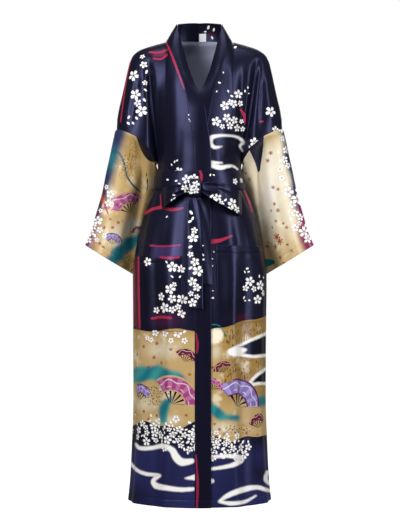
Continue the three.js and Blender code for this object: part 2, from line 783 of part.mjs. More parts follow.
function pocketSheet(name) {
  const side = name === 'right' ? -1 : 1;
  const pocket = POCKETS[name];
  const steps = 6;
  const rows = [];
  for (let i = 0; i <= steps; i += 1) {
    const down = i / steps;
    const row = [];
    for (let j = pocket.firstColumn; j <= pocket.lastColumn; j += 1) {
      const across = (j - pocket.firstColumn) / (pocket.lastColumn - pocket.firstColumn);
      const top = mix(pocket.topInner, pocket.topOuter, across);
      const bottom = mix(pocket.bottomInner, pocket.bottomOuter, across);
      const z = mix(top, bottom, down);
      const bulge = POCKET_BULGE * Math.sin(Math.PI * across) ** 0.7 * (1 - down) ** 0.8;
      row.push(movedOut(side, frontColumnAngle(j, z), z, CLOTH_WALL + 0.65 + bulge));
    }
    rows.push(row);
  }
  const sheet = new Sheet();
  sheet.grid(rows, name === 'right');
  return sheet;
}

function beltSheet() {
  const heights = [BELT_TOP_Z, -391, -407, BELT_BOTTOM_Z];
  const rows = heights.map((z) => {
    const row = [];
    const angles = [];
    for (let j = TORSO_COLUMNS; j >= 0; j -= 1) angles.push(-frontColumnAngle(j, z));
    angles.push(0);
    for (let j = 0; j <= TORSO_COLUMNS; j += 1) angles.push(frontColumnAngle(j, z));
    for (let j = backColumns - 1; j >= 0; j -= 1) angles.push(backColumnAngle(j));
    for (let j = 1; j <= backColumns; j += 1) angles.push(-backColumnAngle(j));
    for (const phi of angles) {
      const near = Math.abs(phi) < 90 ? smooth(80, 22, Math.abs(phi)) : 0;
      const side = phi < 0 ? -1 : 1;
      const cinch = 0.25 * Math.abs(z + 398) / 25;
      const out = (CLOTH_WALL + BELT_WALL) / 2 + 0.5 + near * (LAP + 1.1) + cinch;
      const point = movedOut(side, Math.abs(phi), z, out);
      point.y += lapAt(side, Math.abs(point.x), z);
      row.push(point);
    }
    row[row.length - 1] = row[0].clone();
    return row;
  });
  const sheet = new Sheet();
  sheet.grid(rows, false);
  return sheet;
}

// Outermost y of the fronts and belt at x, z, where the bow and tails lie.
function frontFace(x, z) {
  const surface = frontPoint(-1, -x, z).y - BAND_WALL / 2;
  const onBelt = smooth(BELT_BOTTOM_Z - 14, BELT_BOTTOM_Z + 1, z) * smooth(BELT_TOP_Z + 14, BELT_TOP_Z - 1, z);
  return surface - onBelt * 4.2;
}

function bowSheet(name) {
  const side = name === 'right' ? -1 : 1;
  const table = BOW[name];
  const reach = table[table.length - 1].out;
  const steps = 9;
  const across = 3;
  const sheet = new Sheet();
  const rows = [];
  for (let c = 0; c <= across; c += 1) {
    const share = c / across - 0.5;
    const ring = [];
    const spot = (out, face) => {
      const mid = read(table, 'out', out, 'mid');
      const strip = read(table, 'out', out, 'strip');
      const bulge = read(table, 'out', out, 'bulge') * (1 - 0.3 * Math.abs(share));
      const x = KNOT.x + side * (out + 14);
      const z = mid - share * strip;
      const rest = Math.min(frontFace(x, z), frontFace(x, mid));
      const stand = read(table, 'out', out, 'stand');
      return new THREE.Vector3(x, rest - stand - (face > 0 ? 2.2 * bulge * face : 0), z);
    };
    for (let i = 0; i <= steps; i += 1) {
      const out = mix(table[0].out, reach, (i / steps) ** 0.8);
      ring.push(spot(out, i === steps ? 0.5 : 1));
    }
    for (let i = steps - 1; i >= 0; i -= 1) {
      const out = mix(table[0].out, reach, (i / steps) ** 0.8);
      ring.push(spot(out, -1));
    }
    rows.push(ring);
  }
  sheet.grid(rows, name === 'right');
  return sheet;
}

function tailSheet(name) {
  const table = TAILS[name];
  const steps = name === 'front' ? 13 : 10;
  const across = 4;
  const rows = [];
  for (let i = 0; i <= steps; i += 1) {
    const z = mix(table[0].z, table[table.length - 1].z, i / steps);
    const left = read(table, 'z', z, 'left');
    const right = read(table, 'z', z, 'right');
    const row = [];
    for (let c = 0; c <= across; c += 1) {
      const share = c / across;
      const x = mix(left, right, share);
      const wave = 1.6 * Math.sin(Math.PI * 2 * share + z / 60);
      row.push(new THREE.Vector3(x, frontFace(x, z) - read(table, 'z', z, 'off') + wave, z));
    }
    rows.push(row);
  }
  const sheet = new Sheet();
  sheet.grid(rows, false);
  return sheet;
}

// The knot: a short strip wrapped round the roots of the bow, open at both sides.
function knotSheet() {
  const around = 16;
  const rows = [];
  const back = frontFace(KNOT.x, KNOT.z) - 0.4 - KNOT.wall / 2;
  for (let c = 0; c <= 4; c += 1) {
    const share = c / 4 - 0.5;
    const x = KNOT.x + share * KNOT.width;
    const pinch = 1 - 0.16 * Math.cos(Math.PI * share) ** 2;
    const ring = [];
    for (let k = 0; k <= around; k += 1) {
      const angle = Math.PI * 2 * (k % around) / around;
      const height = KNOT.height / 2 * Math.sign(Math.sin(angle)) * Math.abs(Math.sin(angle)) ** 0.8;
      const middle = back - KNOT.depth / 2 * pinch;
      const swell = KNOT.depth / 2 * pinch * Math.cos(angle);
      ring.push(new THREE.Vector3(x, middle + swell, KNOT.z + height));
    }
    rows.push(ring);
  }
  const sheet = new Sheet();
  sheet.grid(rows, false);
  return sheet;
}

function labelSheet() {
  const rows = [];
  const middle = collarRow(1, upperBack.left[0][0]);
  const next = collarRow(1, upperBack.left[0][1]);
  for (let i = 0; i <= 2; i += 1) {
    const z = mix(LABEL.top, LABEL.bottom + 7, i / 2);
    const row = [];
    for (let c = 0; c <= 2; c += 1) {
      const x = mix(LABEL.left, LABEL.right, c / 2);
      const share = clamp((z - NECK_RISE + 0.2) / 51, 0, 1) * BAND_COLUMNS;
      const from = Math.floor(share);
      const depthOf = (line) => mix(line[from].y, line[from + 1].y, share - from);
      const y = mix(depthOf(middle), depthOf(next), Math.abs(x) / neckPoint(1).x);
      row.push(new THREE.Vector3(x, y - BAND_WALL / 2 - 1.5, z));
    }
    rows.push(row);
  }
  const sheet = new Sheet();
  sheet.grid(rows, false);
  return sheet;
}

// ---- the robe ----
const sheets = {
  back: backSheet(),
  front_right: frontSheet('right'),
  front_left: frontSheet('left'),
  sleeve_right: sleeveSheet('right'),
  sleeve_left: sleeveSheet('left'),
  neck_band: bandSheet(),
};
const sewn = sharedNormals(Object.values(sheets));
const body = sharedNormals([sheets.back, sheets.front_right, sheets.front_left]);
const underarm = (point) => Math.abs(Math.abs(point.x) - UNDERARM_X) < 0.01
  && Math.abs(point.z - UNDERARM_Z) < 0.01 && Math.abs(point.y) < 0.5;
const sleeveShift = (moved, point) => {
  if (underarm(point)) moved.add(new THREE.Vector3(Math.sign(point.x) * 1.4, 0.5, -1.8));
};
const apart = (face) => (moved, point) => {
  if (underarm(point)) moved.y += 0.25 * face;
};

const MATERIALS = {
  navy: new THREE.MeshStandardMaterial({ name: 'navy_print_satin', color: 0x24243f, roughness: 0.32, metalness: 0 }),
  print: new THREE.MeshStandardMaterial({ name: 'cream_print_satin', color: 0xb9a67a, roughness: 0.34, metalness: 0 }),
  band: new THREE.MeshStandardMaterial({ name: 'plain_navy_satin', color: 0x1e1e36, roughness: 0.32, metalness: 0 }),
  label: new THREE.MeshStandardMaterial({ name: 'white_label_tape', color: 0xe9e9ea, roughness: 0.7, metalness: 0 }),
};

const robe = new THREE.Group();
function place(name, geometry, material) {
  const mesh = new THREE.Mesh(geometry, material);
  mesh.name = name;
  robe.add(mesh);
}

const sewnWall = (name, thickness, extra = {}) => wall(sheets[name], thickness, sewn, { cornerAt: underarm, ...extra });
place('back', sewnWall('back', CLOTH_WALL, { cornerNormals: body, shift: apart(1) }), MATERIALS.navy);
place('front_right', sewnWall('front_right', CLOTH_WALL, { cornerNormals: body, shift: apart(-1) }), MATERIALS.navy);
place('front_left', sewnWall('front_left', CLOTH_WALL, { cornerNormals: body, shift: apart(-1) }), MATERIALS.navy);
place('sleeve_right', sewnWall('sleeve_right', CLOTH_WALL, { shift: sleeveShift, gap: 0.4 }), MATERIALS.print);
place('sleeve_left', sewnWall('sleeve_left', CLOTH_WALL, { shift: sleeveShift, gap: 0.4 }), MATERIALS.print);
place('neck_band', sewnWall('neck_band', BAND_WALL, { gap: 0.5 }), MATERIALS.band);

const loose = {
  pocket_right: [pocketSheet('right'), CLOTH_WALL, MATERIALS.navy],
  pocket_left: [pocketSheet('left'), CLOTH_WALL, MATERIALS.navy],
  belt: [beltSheet(), BELT_WALL, MATERIALS.navy],
  belt_knot: [knotSheet(), KNOT.wall, MATERIALS.navy],
  bow_right: [bowSheet('right'), BELT_WALL, MATERIALS.navy],
  bow_left: [bowSheet('left'), BELT_WALL, MATERIALS.navy],
  tail_front: [tailSheet('front'), BELT_WALL, MATERIALS.navy],
  tail_rear: [tailSheet('rear'), BELT_WALL, MATERIALS.navy],
  label: [labelSheet(), 1, MATERIALS.label],
};
for (const [name, [sheet, thickness, material]] of Object.entries(loose)) {
  place(name, wall(sheet, thickness, sharedNormals([sheet])), material);
}

export default robe;
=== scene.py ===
# Kimono robe in printed satin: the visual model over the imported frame.
# Shapes are worked out in millimetres, in the frame's axes, and put into meshes in metres.
import math

import bpy
import numpy as np
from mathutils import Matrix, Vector


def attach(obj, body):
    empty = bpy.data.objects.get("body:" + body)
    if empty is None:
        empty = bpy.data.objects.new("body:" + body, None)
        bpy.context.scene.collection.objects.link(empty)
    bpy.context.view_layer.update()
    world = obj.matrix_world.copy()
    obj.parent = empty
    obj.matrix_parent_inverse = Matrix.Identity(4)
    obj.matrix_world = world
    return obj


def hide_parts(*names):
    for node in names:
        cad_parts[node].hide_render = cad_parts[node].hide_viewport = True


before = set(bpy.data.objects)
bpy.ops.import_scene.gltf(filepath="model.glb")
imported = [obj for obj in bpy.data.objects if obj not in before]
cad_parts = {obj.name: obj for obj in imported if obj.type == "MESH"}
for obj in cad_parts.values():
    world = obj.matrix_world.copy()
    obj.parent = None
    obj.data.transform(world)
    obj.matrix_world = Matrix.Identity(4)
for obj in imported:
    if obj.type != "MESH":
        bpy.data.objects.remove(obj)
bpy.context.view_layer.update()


def table(text):
    """Rows of numbers from text, with commas between the rows."""
    return [tuple(map(float, row.split())) for row in text.split(",")]


# ------------------------------------------------------------------ the robe's tables
NECK_X, SHOULDER_X, NECK_RISE, SEAM_X, LAP = 95, 188, 12, 13, 2.6
WAIST_X, WAIST_Z, CUFF_X, ARM_Z, SLEEVE_DROP = 120, -346, 236, -249, 331
BELT_TOP, BELT_LOW, HEM, KNOT_X, KNOT_Z = -374, -423, -1305, -12, -424
WALL, SASH_WALL, BAND_WALL = 0.7, 1.6, 1.8
# The side's outline as z and x, and the shoulder's crest near the neck as x and z.
OUTLINE = table("""0 95, -10 132, -23 168, -38 188, -57 198.5, -74 203, -91 207, -126 214.5, -160 222,
    -194 230, -229 236, -263 242.5, -297 250, -331 257, -366 265, -400 272, -434 279, -469 289, -503 299,
    -537 308, -580 327""")
CREST_ABOVE = table("0 100, 60 70, 80 40, 90 18, 95 0")
# Upper body: z, reach, depth in front and behind, depth of the arm.
UPPER = table("""60 205 98 92 40, 0 200 100 94 42, -60 195 102 97 47, -100 186 104 100 51,
    -150 168 107 102 53, -200 151 108 101 54, -250 137 106 98 54, -300 126 101 95 53, -346 120 98 92 50""")
# Lower body: z, half width, depth in front and behind.
RINGS = table("""-346 120 98 92, -352 118.8 97.8 91.5, -362 118.4 97.4 90.6, -374 120.5 96.9 89.6,
    -394 126 96 88, -423 131 97 90, -451 143 102 98, -508 162 114 113, -545 171 122 121, -594 181 131 127,
    -666 189.5 138 130, -820 189.5 141 132, -1023 189 142 134, -1137 193 143 137, -1240 198 145 139,
    -1320 206 148 143""")
# The neck band's seam as z and x, and its width: by z inwards, back and up, then by x round the neck.
BAND_SEAM = table("0 95, -20 86, -57 71, -95 57, -131 45, -170 36, -209 30, -255 22, -303 15, -346 13")
BAND_RISE = table("""10 30 8 52, 0 30 8 52, -20 27 15 42, -57 25 20 31, -95 24 19 19, -131 27 13 11,
    -170 38 5 7, -209 46 1 5, -303 45 0 1, -346 45 0 0, -1325 45 0 0""")
COLLAR_RISE = table("0 0 -15 51, 35 10 -12 52, 62 18 -6 53, 84 26 2 54, 95 30 8 52")
ARMHOLE = table("120 -346, 134 -323, 152 -299, 173 -279, 200 -264, 236 -249")
# Sleeves: share of the length with the inner edge's x and y, or with the main crease's place and depth.
SLEEVE_INNER = table("""0 120 0, 0.02 123.5 9.5, 0.05 120.5 21, 0.08 119.5 31, 0.15 121 46, 0.31 135 60,
    0.5 152 72, 0.72 165 82, 1 172 88""")
SLEEVE_CREASE = {
    "right": table("0 0.47 7, 0.15 0.36 20, 0.32 0.27 19, 0.6 0.24 10, 1 0.22 5"),
    "left": table("0 0.5 8, 0.15 0.38 22, 0.35 0.32 21, 0.65 0.28 13, 1 0.3 6")}
# Folds of the sleeves: place across, width, height, from.
SLEEVE_FOLDS = table("0.62 0.09 4 0.15, 0.8 0.07 -4 0.3, 0.45 0.07 3 0.4")
# Large folds of the body: phi, lean, width, height, from, to.
BODY_FOLDS = table("""-24 -4 7 6 -440 -1500, -40 3 6 -6 -450 -1400, -58 -4 8 5 -520 -1500,
    -78 4 7 -5 -560 -1500, 16 3 6 -4 -430 -900, 27 4 6 6 -440 -1500, 43 -4 7 -6 -500 -1400,
    62 3 7 5 -470 -1500, 80 -3 6 -4 -600 -1500, 104 5 8 5 -480 -1500, 126 -4 8 -7 -450 -1500,
    148 4 9 7 -440 -1500, 171 -3 9 -6 -440 -1400, -164 -3 9 7 -450 -1500, -143 5 8 -6 -440 -1500,
    -120 -4 8 6 -470 -1500, -101 3 7 -4 -540 -1500""")
# Troughs: side, face, top x, bottom x, width, depth, from, to.
SHOULDER_TROUGHS = table("""-1 -1 146 124 10 15 -45 -330, 1 -1 166 125 10 17 -40 -330,
    -1 1 150 124 11 14 -60 -330, 1 1 152 124 11 13 -55 -330""")
# Pockets: z of the top and of the bottom, each at the inner and the outer edge.
POCKETS = {"right": (-613, -611, -822, -812), "left": (-583, -588, -806, -788)}
# Loops of the bow: distance out, middle z, strip, bulge, stand. Ends: z, left x, right x, stand.
BOW = {
    "right": table("""0 -424 22 3 11.5, 20 -427 27 10 4, 42 -434 38 14 3.4, 62 -444 50 12 3.6,
        74 -450 57 7 2.5, 78 -452 57 1.2 5"""),
    "left": table("""0 -422 22 3 11.5, 26 -429 42 11 4, 54 -438 58 15 2.4, 84 -450 65 13 2, 108 -462 67 8 2.5,
        116 -465 66 1.2 6""")}
TAILS = {
    "front": table("""-450.8 -27 -9 17, -480 -34 0 15, -530 -34 5 12, -600 -33 8 11, -680 -32 9 11,
        -757 -31 10 12"""),
    "rear": table("-450.8 -13 4 11.5, -480 -12 20 7.5, -530 -8 30 6, -600 -7 33 6, -690 -6 36 6.5")}
# Small folds that the solids leave out: phi, lean, width, height, from, to.
FINE_FOLDS = table("""-14 -2 3 1.6 -425 -760, -33 4 3.2 -2.2 -425 -1000, -49 -6 3.2 2.4 -424 -900,
    -66 4 3.4 -2.4 -424 -1300, -84 2 3 2 -424 -1000, 21 2 2.6 2.2 -424 -640, 35 7 3 -2.8 -424 -1200,
    51 3 3.2 2.8 -424 -900, 70 -3 3 -2.4 -424 -1300, 88 3 3 2 -424 -900, 112 -4 3.4 2.4 -424 -1000,
    136 3 3.4 -2.6 -424 -1200, 158 -3 3.2 2.4 -424 -900, 179 2 3.2 2.2 -424 -1100, -155 4 3.2 -2.4 -424 -1200,
    -132 -4 3.4 2.6 -424 -1000, -111 3 3.2 -2.2 -424 -1300, -93 -3 3 1.8 -424 -800""")
# Gathers drawn in by the sash, above and below it: phi, width, height, reach up, reach down.
GATHERS = table("""-72 1.3 1.9 96 60, -68 1.1 -1.7 84 44, -64.5 1.1 1.7 100 72, -61 1.1 -1.7 78 40,
    -57.5 1.2 1.6 92 90, -53.5 1.2 -1.5 66 38, -49 1.4 1.3 74 60, -43 1.6 -1.1 50 50, -34 2 1 44 70,
    22 1.8 1.1 40 60, 30 1.6 -1.3 48 80, 37 1.4 1.5 70 50, 43 1.3 -1.6 58 90, 48.5 1.3 1.7 84 60,
    54 1.2 -1.6 62 110, 59 1.2 1.8 92 70, 64 1.2 -1.7 74 46, 69.5 1.3 1.6 88 96, 76 1.6 -1.4 60 50,
    -80 1.8 -1.3 60 60, 95 2 1.5 60 80, 103 1.8 -1.6 74 60, 110 1.7 1.6 88 110, 117 1.8 -1.5 64 70,
    125 1.9 1.7 94 90, 133 1.8 -1.6 70 60, 141 2 1.5 82 120, 150 2.2 -1.4 60 70, 160 2.3 1.4 70 90,
    170 2.2 -1.3 52 60, 180 2.4 1.4 78 110, -170 2.2 -1.4 58 70, -160 2.2 1.5 80 80, -151 2 -1.5 66 100,
    -142 1.9 1.7 90 60, -134 1.8 -1.6 72 90, -126 1.9 1.6 84 110, -118 1.8 -1.6 60 60, -110 1.7 1.7 92 80,
    -102 1.8 -1.5 70 60, -94 1.9 1.4 64 70""")
# Creases of the upper body: face, side, x and z of the start and of the end, width, height.
CREASES = table("""-1 -1 70 -60 74 -340 20 3, -1 -1 96 -230 100 -372 7 1.2, -1 -1 122 -110 108 -372 11 -4.6,
    -1 -1 50 -240 60 -372 9 -0.8, -1 -1 168 -90 196 -255 9 -3.4, -1 -1 182 -70 214 -240 7 2.2,
    -1 1 88 -50 104 -230 18 2.2, -1 1 124 -60 112 -330 10 -5, -1 1 84 -210 96 -372 13 -2.6,
    -1 1 44 -270 54 -372 10 1, -1 1 178 -80 176 -262 8 -3.6, -1 1 190 -75 206 -250 9 3,
    -1 1 140 -290 62 -350 10 -1.8, -1 -1 136 -300 70 -345 9 -1.6, 1 -1 20 -60 40 -330 16 2.6,
    1 -1 70 -90 92 -360 12 -3.2, 1 -1 108 -110 104 -350 10 2.8, 1 -1 176 -90 204 -250 9 -3.2,
    1 1 30 -90 22 -350 14 -2.4, 1 1 78 -80 98 -350 12 3.2, 1 1 116 -120 106 -350 9 -3,
    1 1 180 -85 200 -250 9 3, 1 1 0 -26 70 -60 14 -1.6, 1 -1 0 -26 70 -62 14 -1.6,
    1 -1 134 -300 50 -352 10 -1.8, 1 1 136 -298 48 -345 10 -1.7""")
# Creases of the sleeves: face, across and along of the start and of the end, width across, height.
SLEEVE_CREASES = {
    "right": table("""-1 0.3 0.02 0.52 0.55 0.05 2.6, -1 0.56 0.2 0.66 1.1 0.035 -2.2,
        -1 0.72 0.1 0.86 1.1 0.04 2, -1 0.14 0.25 0.12 1.1 0.03 2.4, -1 0.36 0.5 0.42 1.1 0.035 -2.4,
        1 0.3 0 0.2 1.1 0.05 -3, 1 0.45 0.1 0.4 1.1 0.05 3, 1 0.62 0.15 0.7 1.1 0.045 -2.6,
        1 0.84 0.2 0.84 1.1 0.04 2"""),
    "left": table("""-1 0.34 0.02 0.5 0.6 0.05 2.8, -1 0.6 0.15 0.56 1.1 0.035 -2.6,
        -1 0.7 0.3 0.74 1.1 0.035 2.2, -1 0.88 0.2 0.86 1.1 0.03 -2, -1 0.16 0.25 0.14 1.1 0.03 2.2,
        -1 0.4 0.55 0.44 1.1 0.03 2, 1 0.28 0 0.24 1.1 0.05 -3.2, 1 0.5 0.1 0.44 1.1 0.05 2.6,
        1 0.66 0.2 0.66 1.1 0.045 -2.8, 1 0.82 0.2 0.88 1.1 0.035 2.2""")}


# ------------------------------------------------------------------ helpers
def reader(rows, column):
    """Monotone cubic through one column of a table, by its first column."""
    rows = sorted(rows)
    key = np.array([r[0] for r in rows], float)
    val = np.array([r[column] for r in rows], float)
    slope = np.diff(val) / np.diff(key)
    tangent = np.empty(len(key))
    tangent[0], tangent[-1] = slope[0], slope[-1]
    for k in range(1, len(key) - 1):
        a, b = slope[k - 1], slope[k]
        tangent[k] = 0 if a * b <= 0 else 2 * a * b / (a + b)

    def value(x):
        x = np.clip(np.asarray(x, float), key[0], key[-1])
        at = np.clip(np.searchsorted(key, x, side="left") - 1, 0, len(key) - 2)
        span = key[at + 1] - key[at]
        s = (x - key[at]) / span
        s2, s3 = s * s, s * s * s
        return ((2 * s3 - 3 * s2 + 1) * val[at] + (s3 - 2 * s2 + s) * span * tangent[at]
                + (3 * s2 - 2 * s3) * val[at + 1] + (s3 - s2) * span * tangent[at + 1])
    return value


def readers(rows, *columns):
    return [reader(rows, c) for c in columns]


def smooth(low, high, value):
    s = np.clip((np.asarray(value, float) - low) / (high - low), 0, 1)
    return s * s * (3 - 2 * s)


def mix(a, b, s):
    return a + (b - a) * s


def bell(away, width):
    return np.exp(-(away / width) ** 2)


def wrapped(turn):
    return turn - 360 * np.round(turn / 360)


def fullness(distance, width):
    return np.sqrt(np.sin(math.pi / 2 * np.clip(distance / width, 0, 1)))


outline_x_low = reader(OUTLINE, 1)
crest_x = reader([(z, x) for x, z in CREST_ABOVE], 1)
crest_in = reader(CREST_ABOVE, 1)
crest_mid = reader([(x, z) for z, x in OUTLINE if z >= -57], 1)
crest_out = reader([(x, z) for z, x in OUTLINE], 1)
upper_reach, upper_front, upper_back, upper_arm = readers(UPPER, 1, 2, 3, 4)
ring_half, ring_front, ring_back = readers(RINGS, 1, 2, 3)
rise_in, rise_back, rise_up = readers(BAND_RISE, 1, 2, 3)
collar_in, collar_back, collar_up = readers(COLLAR_RISE, 1, 2, 3)
seam_x, armhole_z = reader(BAND_SEAM, 1), reader(ARMHOLE, 1)


def outline_x(z):
    return np.where(z > 0, crest_x(z), outline_x_low(z))


def crest_z(x):
    return np.where(x < NECK_X, crest_in(x), np.where(x > 198.5, crest_out(x), crest_mid(x)))


def line_bump(x, z, ax, az, bx, bz, width, height):
    """A soft ridge or trough along a line, fading at both ends."""
    dx, dz = bx - ax, bz - az
    t = ((x - ax) * dx + (z - az) * dz) / (dx * dx + dz * dz)
    near = np.clip(t, 0, 1)
    away = np.hypot(x - ax - dx * near, z - az - dz * near)
    fade = smooth(0, 0.3, t) * smooth(1.06, 0.72, t)
    return height * fade * bell(away, width)


def upper_depth(x, z, face, side):
    """How far the upper body stands in front of or behind the shoulder's plane."""
    down = np.maximum(0, crest_z(x) - z)
    inward = np.maximum(0, outline_x(z) - x)
    distance = down * inward / np.sqrt(down * down + inward * inward + 1e-6)
    depth, round_in = (upper_front(z), 240) if face < 0 else (upper_back(z), 170)
    torso = depth * np.sqrt(np.maximum(0, 1 - (x / upper_reach(z)) ** 2)) * fullness(distance, round_in)
    valley = WAIST_X - 0.25 * (z - WAIST_Z)
    arm = upper_arm(z) * fullness(x - valley, 60) * fullness(distance, 80)
    blend = 14 * smooth(0, 70, z - WAIST_Z) * smooth(0, 20, distance)
    full = (torso + arm + np.sqrt((torso - arm) ** 2 + blend * blend)) / 2 - blend * 0.1
    for s, f, top, bottom, width, deep, start, end in SHOULDER_TROUGHS:
        if s == side and f == face:
            share = (z - start) / (end - start)
            middle = mix(top, bottom, np.clip(share, 0, 1))
            full = full - deep * smooth(0, 0.25, share) * smooth(1.05, 0.8, share) * bell(x - middle, width)
    for f, s, *line in CREASES:
        if s == side and f == face:
            full = full + line_bump(x, z, *line) * smooth(4, 40, distance)
    return np.maximum(0, full)


def ring_point(phi, z, fine=True):
    """Point on the lower body, phi degrees from the front's middle, with or without its small folds."""
    phi, z = np.broadcast_arrays(np.asarray(phi, float), np.asarray(z, float))
    angle = np.radians(phi)
    half = ring_half(z)
    depth = np.where(np.cos(angle) > 0, ring_front(z), ring_back(z))
    out = np.zeros(phi.shape)
    for fold_phi, lean, width, height, start, end in BODY_FOLDS + (FINE_FOLDS if fine else []):
        share = (z - start) / (HEM - start)
        fade = smooth(0, 0.35, share) * smooth(end, end + 250, z)
        out = out + height * fade * bell(wrapped(phi - fold_phi - lean * np.clip(share, 0, 1)), width)
    if fine:
        for at, width, height, up, down in GATHERS:
            reach = np.where(z > -398, (z - BELT_TOP) / up, (BELT_LOW - z) / down)
            out = out + height * 0.8 * smooth(1, 0.05, reach) * bell(wrapped(phi - at), width)
        out = out - 0.7 * bell(z - HEM - 22, 1.6) * (1 + 0.5 * np.sin(phi * 1.9))
    nx, ny = np.sin(angle) / half, -np.cos(angle) / depth
    size = np.hypot(nx, ny)
    return np.stack([half * np.sin(angle) + out * nx / size, -depth * np.cos(angle) + out * ny / size, z], -1)


def lap_at(side, x, z):
    return -side * LAP * smooth(-70, -128, z) * smooth(112, 42, np.abs(x))


def front_column_phi(j, z):
    start = np.degrees(np.arcsin(SEAM_X / ring_half(z)))
    return mix(start, 90, j / 8)


def settle_offset(side, x, z):
    """Carries the upper body's last row softly into the rings below it."""
    share = np.clip(np.abs(x) / ring_half(z), 0, 1)
    ax = share * WAIST_X
    waist = WAIST_Z + 0 * ax
    ring = ring_point(side * np.degrees(np.arcsin(share)) * np.sign(x + 1e-9), waist)[..., 1]
    y = (-upper_depth(ax, waist, -1, side) - ring) * smooth(-425, WAIST_Z, z)
    return np.stack([0 * ax, y, 0 * ax], -1)


def front_point(side, x, z):
    """Point on a front at x towards its own side, which may be negative."""
    x, z = np.broadcast_arrays(np.asarray(x, float), np.asarray(z, float))
    high = np.stack([side * x, -upper_depth(np.abs(x), z, -1, side), z], -1)
    phi = np.degrees(np.arcsin(np.clip(x / ring_half(z), -1, 1)))
    low = ring_point(side * phi, np.minimum(z, WAIST_Z)) + settle_offset(side, x, z)
    point = np.where((z > WAIST_Z)[..., None], high, low)
    point[..., 2] = z
    point[..., 1] -= lap_at(side, x, z)
    return point


def patch(top, bottom, inner, outer, u, v):
    """A grid stretched between four edges."""
    u, v = u[None, :, None], v[:, None, None]
    return ((1 - v) * top[None] + v * bottom[None] + (1 - u) * inner[:, None] + u * outer[:, None]
            - (1 - u) * (1 - v) * top[0] - u * (1 - v) * top[-1]
            - (1 - u) * v * bottom[0] - u * v * bottom[-1])


def steps(low, high, count, edge=()):
    """Even steps from low to high, with a few extra ones close to each end."""
    extra = [*edge, *(1 - e for e in edge)]
    return low + (high - low) * np.unique(np.round(np.concatenate([np.linspace(0, 1, count + 1), extra]), 7))


def armhole_point(k):
    x = mix(WAIST_X, CUFF_X, 0.5 - 0.5 * np.cos(math.pi * k / 8))
    return np.stack([x, armhole_z(x)], -1)


def shoulder_point(j):
    x = mix(NECK_X, SHOULDER_X, (j / 16) ** 0.92)
    return np.stack([x, crest_z(x)], -1)


TORSO = steps(0, 8, 60, (0.004, 0.01))
BACK_TORSO = steps(0, 12, 66, (0.99, 0.996))
ARM = steps(8, 16, 36, (0.01,))[1:]
ARM_K = np.concatenate([[0.0], ARM - 8])
V = steps(0, 1, 82, (0.003, 0.008))
LOW = steps(WAIST_Z, HEM, 196, (0.002, 0.0211, 0.0226, 0.0241))
ALONG = steps(0, 1, 104, (0.004, 0.012, 0.056, 0.06, 0.064))
BAND_C = steps(0, 1, 9, (0.02, 0.05))
SIDES = {"right": -1, "left": 1}


def upper(side, face, j, count, top, inner, low_x):
    """One side of the upper body, in front or behind, from its flat edges."""
    z = mix(crest_z(SHOULDER_X), ARM_Z, V)
    short = (outline_x(ARM_Z) - CUFF_X) * np.clip(13 * V ** (1 / 1.7) - 12, 0, 1)
    outer = np.stack([outline_x(z) - short, z], -1)
    bottom = np.concatenate([np.stack([low_x, 0 * low_x + WAIST_Z], -1), armhole_point(ARM - 8)])
    if face < 0:
        bottom[0] = inner[-1]
    u = j / count
    flat = patch(top, bottom, inner, outer, u, V)
    x, z = flat[..., 0], flat[..., 1]
    y = face * upper_depth(x + short[:, None] * u[None, :] ** 6, z, face, side)
    if face < 0:
        y = y - lap_at(side, x, z)
    y[0] = 0 if face < 0 else np.where(u < 0.2, y[0], 0)
    y[:, -1] = 0
    return np.stack([side * x, y, z], -1)


def front_upper(side):
    j = np.concatenate([TORSO, ARM])
    z = mix(0, WAIST_Z, V)
    low_x = WAIST_X * np.sin(np.radians(front_column_phi(TORSO, WAIST_Z)))
    return upper(side, -1, j, 16, shoulder_point(j), np.stack([seam_x(z), z], -1), low_x)


def back_upper(side):
    j = np.concatenate([BACK_TORSO, ARM + 4])
    nx = NECK_X * np.sin(math.pi / 2 * np.minimum(j, 4) / 4)
    neck = np.stack([nx, NECK_RISE * (1 - (nx / NECK_X) ** 2)], -1)
    top = np.where((j <= 4)[:, None], neck, shoulder_point(np.maximum(0, j - 4)))
    low_x = WAIST_X * np.sin(np.radians(180 - 90 * BACK_TORSO / 12))
    return upper(side, 1, j, 20, top, np.stack([0 * V, mix(NECK_RISE, WAIST_Z, V)], -1), low_x)


def settle(grid, last):
    """Moves the first rows of a lower grid onto the upper body's last row."""
    return grid + (last - grid[0])[None] * smooth(-425, WAIST_Z, LOW)[:, None, None]


def front_lower(side, last):
    phi = front_column_phi(TORSO[None, :], LOW[:, None])
    grid = ring_point(side * phi, LOW[:, None] + 0 * phi)
    grid[..., 1] -= lap_at(side, grid[..., 0], grid[..., 2])
    return settle(grid, last)


def back_lower(side, last):
    phi = 180 - 90 * BACK_TORSO[None, :] / 12 + 0 * LOW[:, None]
    return settle(ring_point(side * phi, LOW[:, None] + 0 * phi), last)


UP_FRONT = {n: front_upper(s) for n, s in SIDES.items()}
UP_BACK = {n: back_upper(s) for n, s in SIDES.items()}
LOW_FRONT = {n: front_lower(s, UP_FRONT[n][-1, :len(TORSO)]) for n, s in SIDES.items()}
LOW_BACK = {n: back_lower(s, UP_BACK[n][-1, :len(BACK_TORSO)]) for n, s in SIDES.items()}


